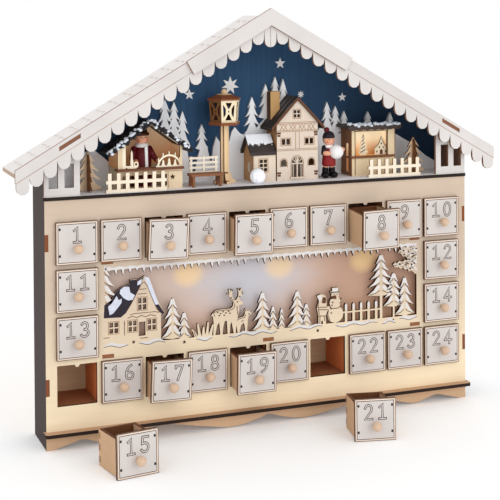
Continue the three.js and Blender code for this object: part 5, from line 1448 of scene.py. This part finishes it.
def camera_matrix():
    """The camera's place and turn, from its spot, yaw, pitch and roll."""
    level = math.cos(CAMERA_PITCH)
    forward = Vector((math.sin(CAMERA_YAW) * level, math.cos(CAMERA_YAW) * level, -math.sin(CAMERA_PITCH)))
    right = Vector((math.cos(CAMERA_YAW), -math.sin(CAMERA_YAW), 0.0))
    upward = right.cross(forward)
    turned_right = right * math.cos(CAMERA_ROLL) + upward * math.sin(CAMERA_ROLL)
    turned_up = upward * math.cos(CAMERA_ROLL) - right * math.sin(CAMERA_ROLL)
    turn = Matrix((turned_right, turned_up, -forward)).transposed().to_4x4()
    return Matrix.Translation(TO_FRAME @ Vector(CAMERA_SPOT)) @ turn


def soft_light(name, spot, aim, side, power):
    """A large square light at a spot, turned to what it is aimed at."""
    lamp = bpy.data.lights.new(name, "AREA")
    lamp.shape = "SQUARE"
    lamp.size = side
    lamp.energy = power
    made = bpy.data.objects.new(name, lamp)
    made.location = spot
    made.rotation_euler = (Vector(aim) - Vector(spot)).to_track_quat("-Z", "Y").to_euler()
    bpy.context.scene.collection.objects.link(made)


class ADVENT_OT_studio(bpy.types.Operator):
    """Set up the floor, the lights and the camera"""
    bl_idname = "advent.studio"
    bl_label = "Studio"

    def execute(self, context):
        settings = context.scene.advent_studio
        bm = bmesh.new()
        bmesh.ops.create_grid(bm, x_segments=1, y_segments=1, size=FLOOR_HALF)
        mesh = bpy.data.meshes.new("floor")
        bm.to_mesh(mesh)
        bm.free()
        pale = Finish("floor", 0.8, Emission_Color=(1.0, 1.0, 1.0, 1.0), Emission_Strength=FLOOR_GLOW)
        pale.shader.inputs["Base Color"].default_value = tuple(settings.floor) + (1.0,)
        mesh.materials.append(pale.material)
        floor = bpy.data.objects.new("floor", mesh)
        context.scene.collection.objects.link(floor)
        soft_light("key", (0.8, -2.1, 1.0), (0.0, 0.0, 0.2), 1.3, settings.key)
        soft_light("fill", (-1.5, -1.6, 1.2), (0.0, 0.0, 0.15), 1.4, settings.key * FILL_SHARE)
        world = bpy.data.worlds.new("studio")
        world.use_nodes = True
        sky = next(n for n in world.node_tree.nodes if n.type == "BACKGROUND")
        sky.inputs["Color"].default_value = (1.0, 1.0, 1.0, 1.0)
        sky.inputs["Strength"].default_value = 1.0
        context.scene.world = world
        context.scene.view_settings.view_transform = "Standard"
        camera = bpy.data.cameras.new("photograph")
        camera.lens = settings.lens
        camera.shift_y = CAMERA_SHIFT
        camera.clip_start = 0.05
        seat = bpy.data.objects.new("photograph", camera)
        seat.matrix_world = camera_matrix()
        context.scene.collection.objects.link(seat)
        context.scene.camera = seat
        return {"FINISHED"}


PIECES = (ADVENT_OT_studio, ADVENT_OT_cabinet, ADVENT_OT_drawers, ADVENT_OT_picture, ADVENT_OT_roof,
          ADVENT_OT_sky, ADVENT_OT_houses, ADVENT_OT_stalls, ADVENT_OT_street, ADVENT_OT_figures)


class ADVENT_PT_panel(bpy.types.Panel):
    bl_label = "Advent calendar"
    bl_idname = "ADVENT_PT_panel"
    bl_space_type = "VIEW_3D"
    bl_region_type = "UI"
    bl_category = "Advent"

    def draw(self, context):
        for group in GROUPS:
            settings = getattr(context.scene, group)
            box = self.layout.box()
            for key in settings.__annotations__:
                box.prop(settings, key)
        for operator in PIECES:
            self.layout.operator(operator.bl_idname)


GROUPS = {
    "advent_drawers": DrawerSettings,
    "advent_village": VillageSettings,
    "advent_studio": StudioSettings,
}
CLASSES = tuple(GROUPS.values()) + PIECES + (ADVENT_PT_panel,)


def register():
    for cls in CLASSES:
        bpy.utils.register_class(cls)
    for name, cls in GROUPS.items():
        setattr(bpy.types.Scene, name, PointerProperty(type=cls))


def unregister():
    for name in GROUPS:
        delattr(bpy.types.Scene, name)
    for cls in reversed(CLASSES):
        bpy.utils.unregister_class(cls)


def main():
    register()
    for operator in PIECES:
        group, name = operator.bl_idname.split(".")
        getattr(getattr(bpy.ops, group), name)()


if __name__ == "__main__":
    main()
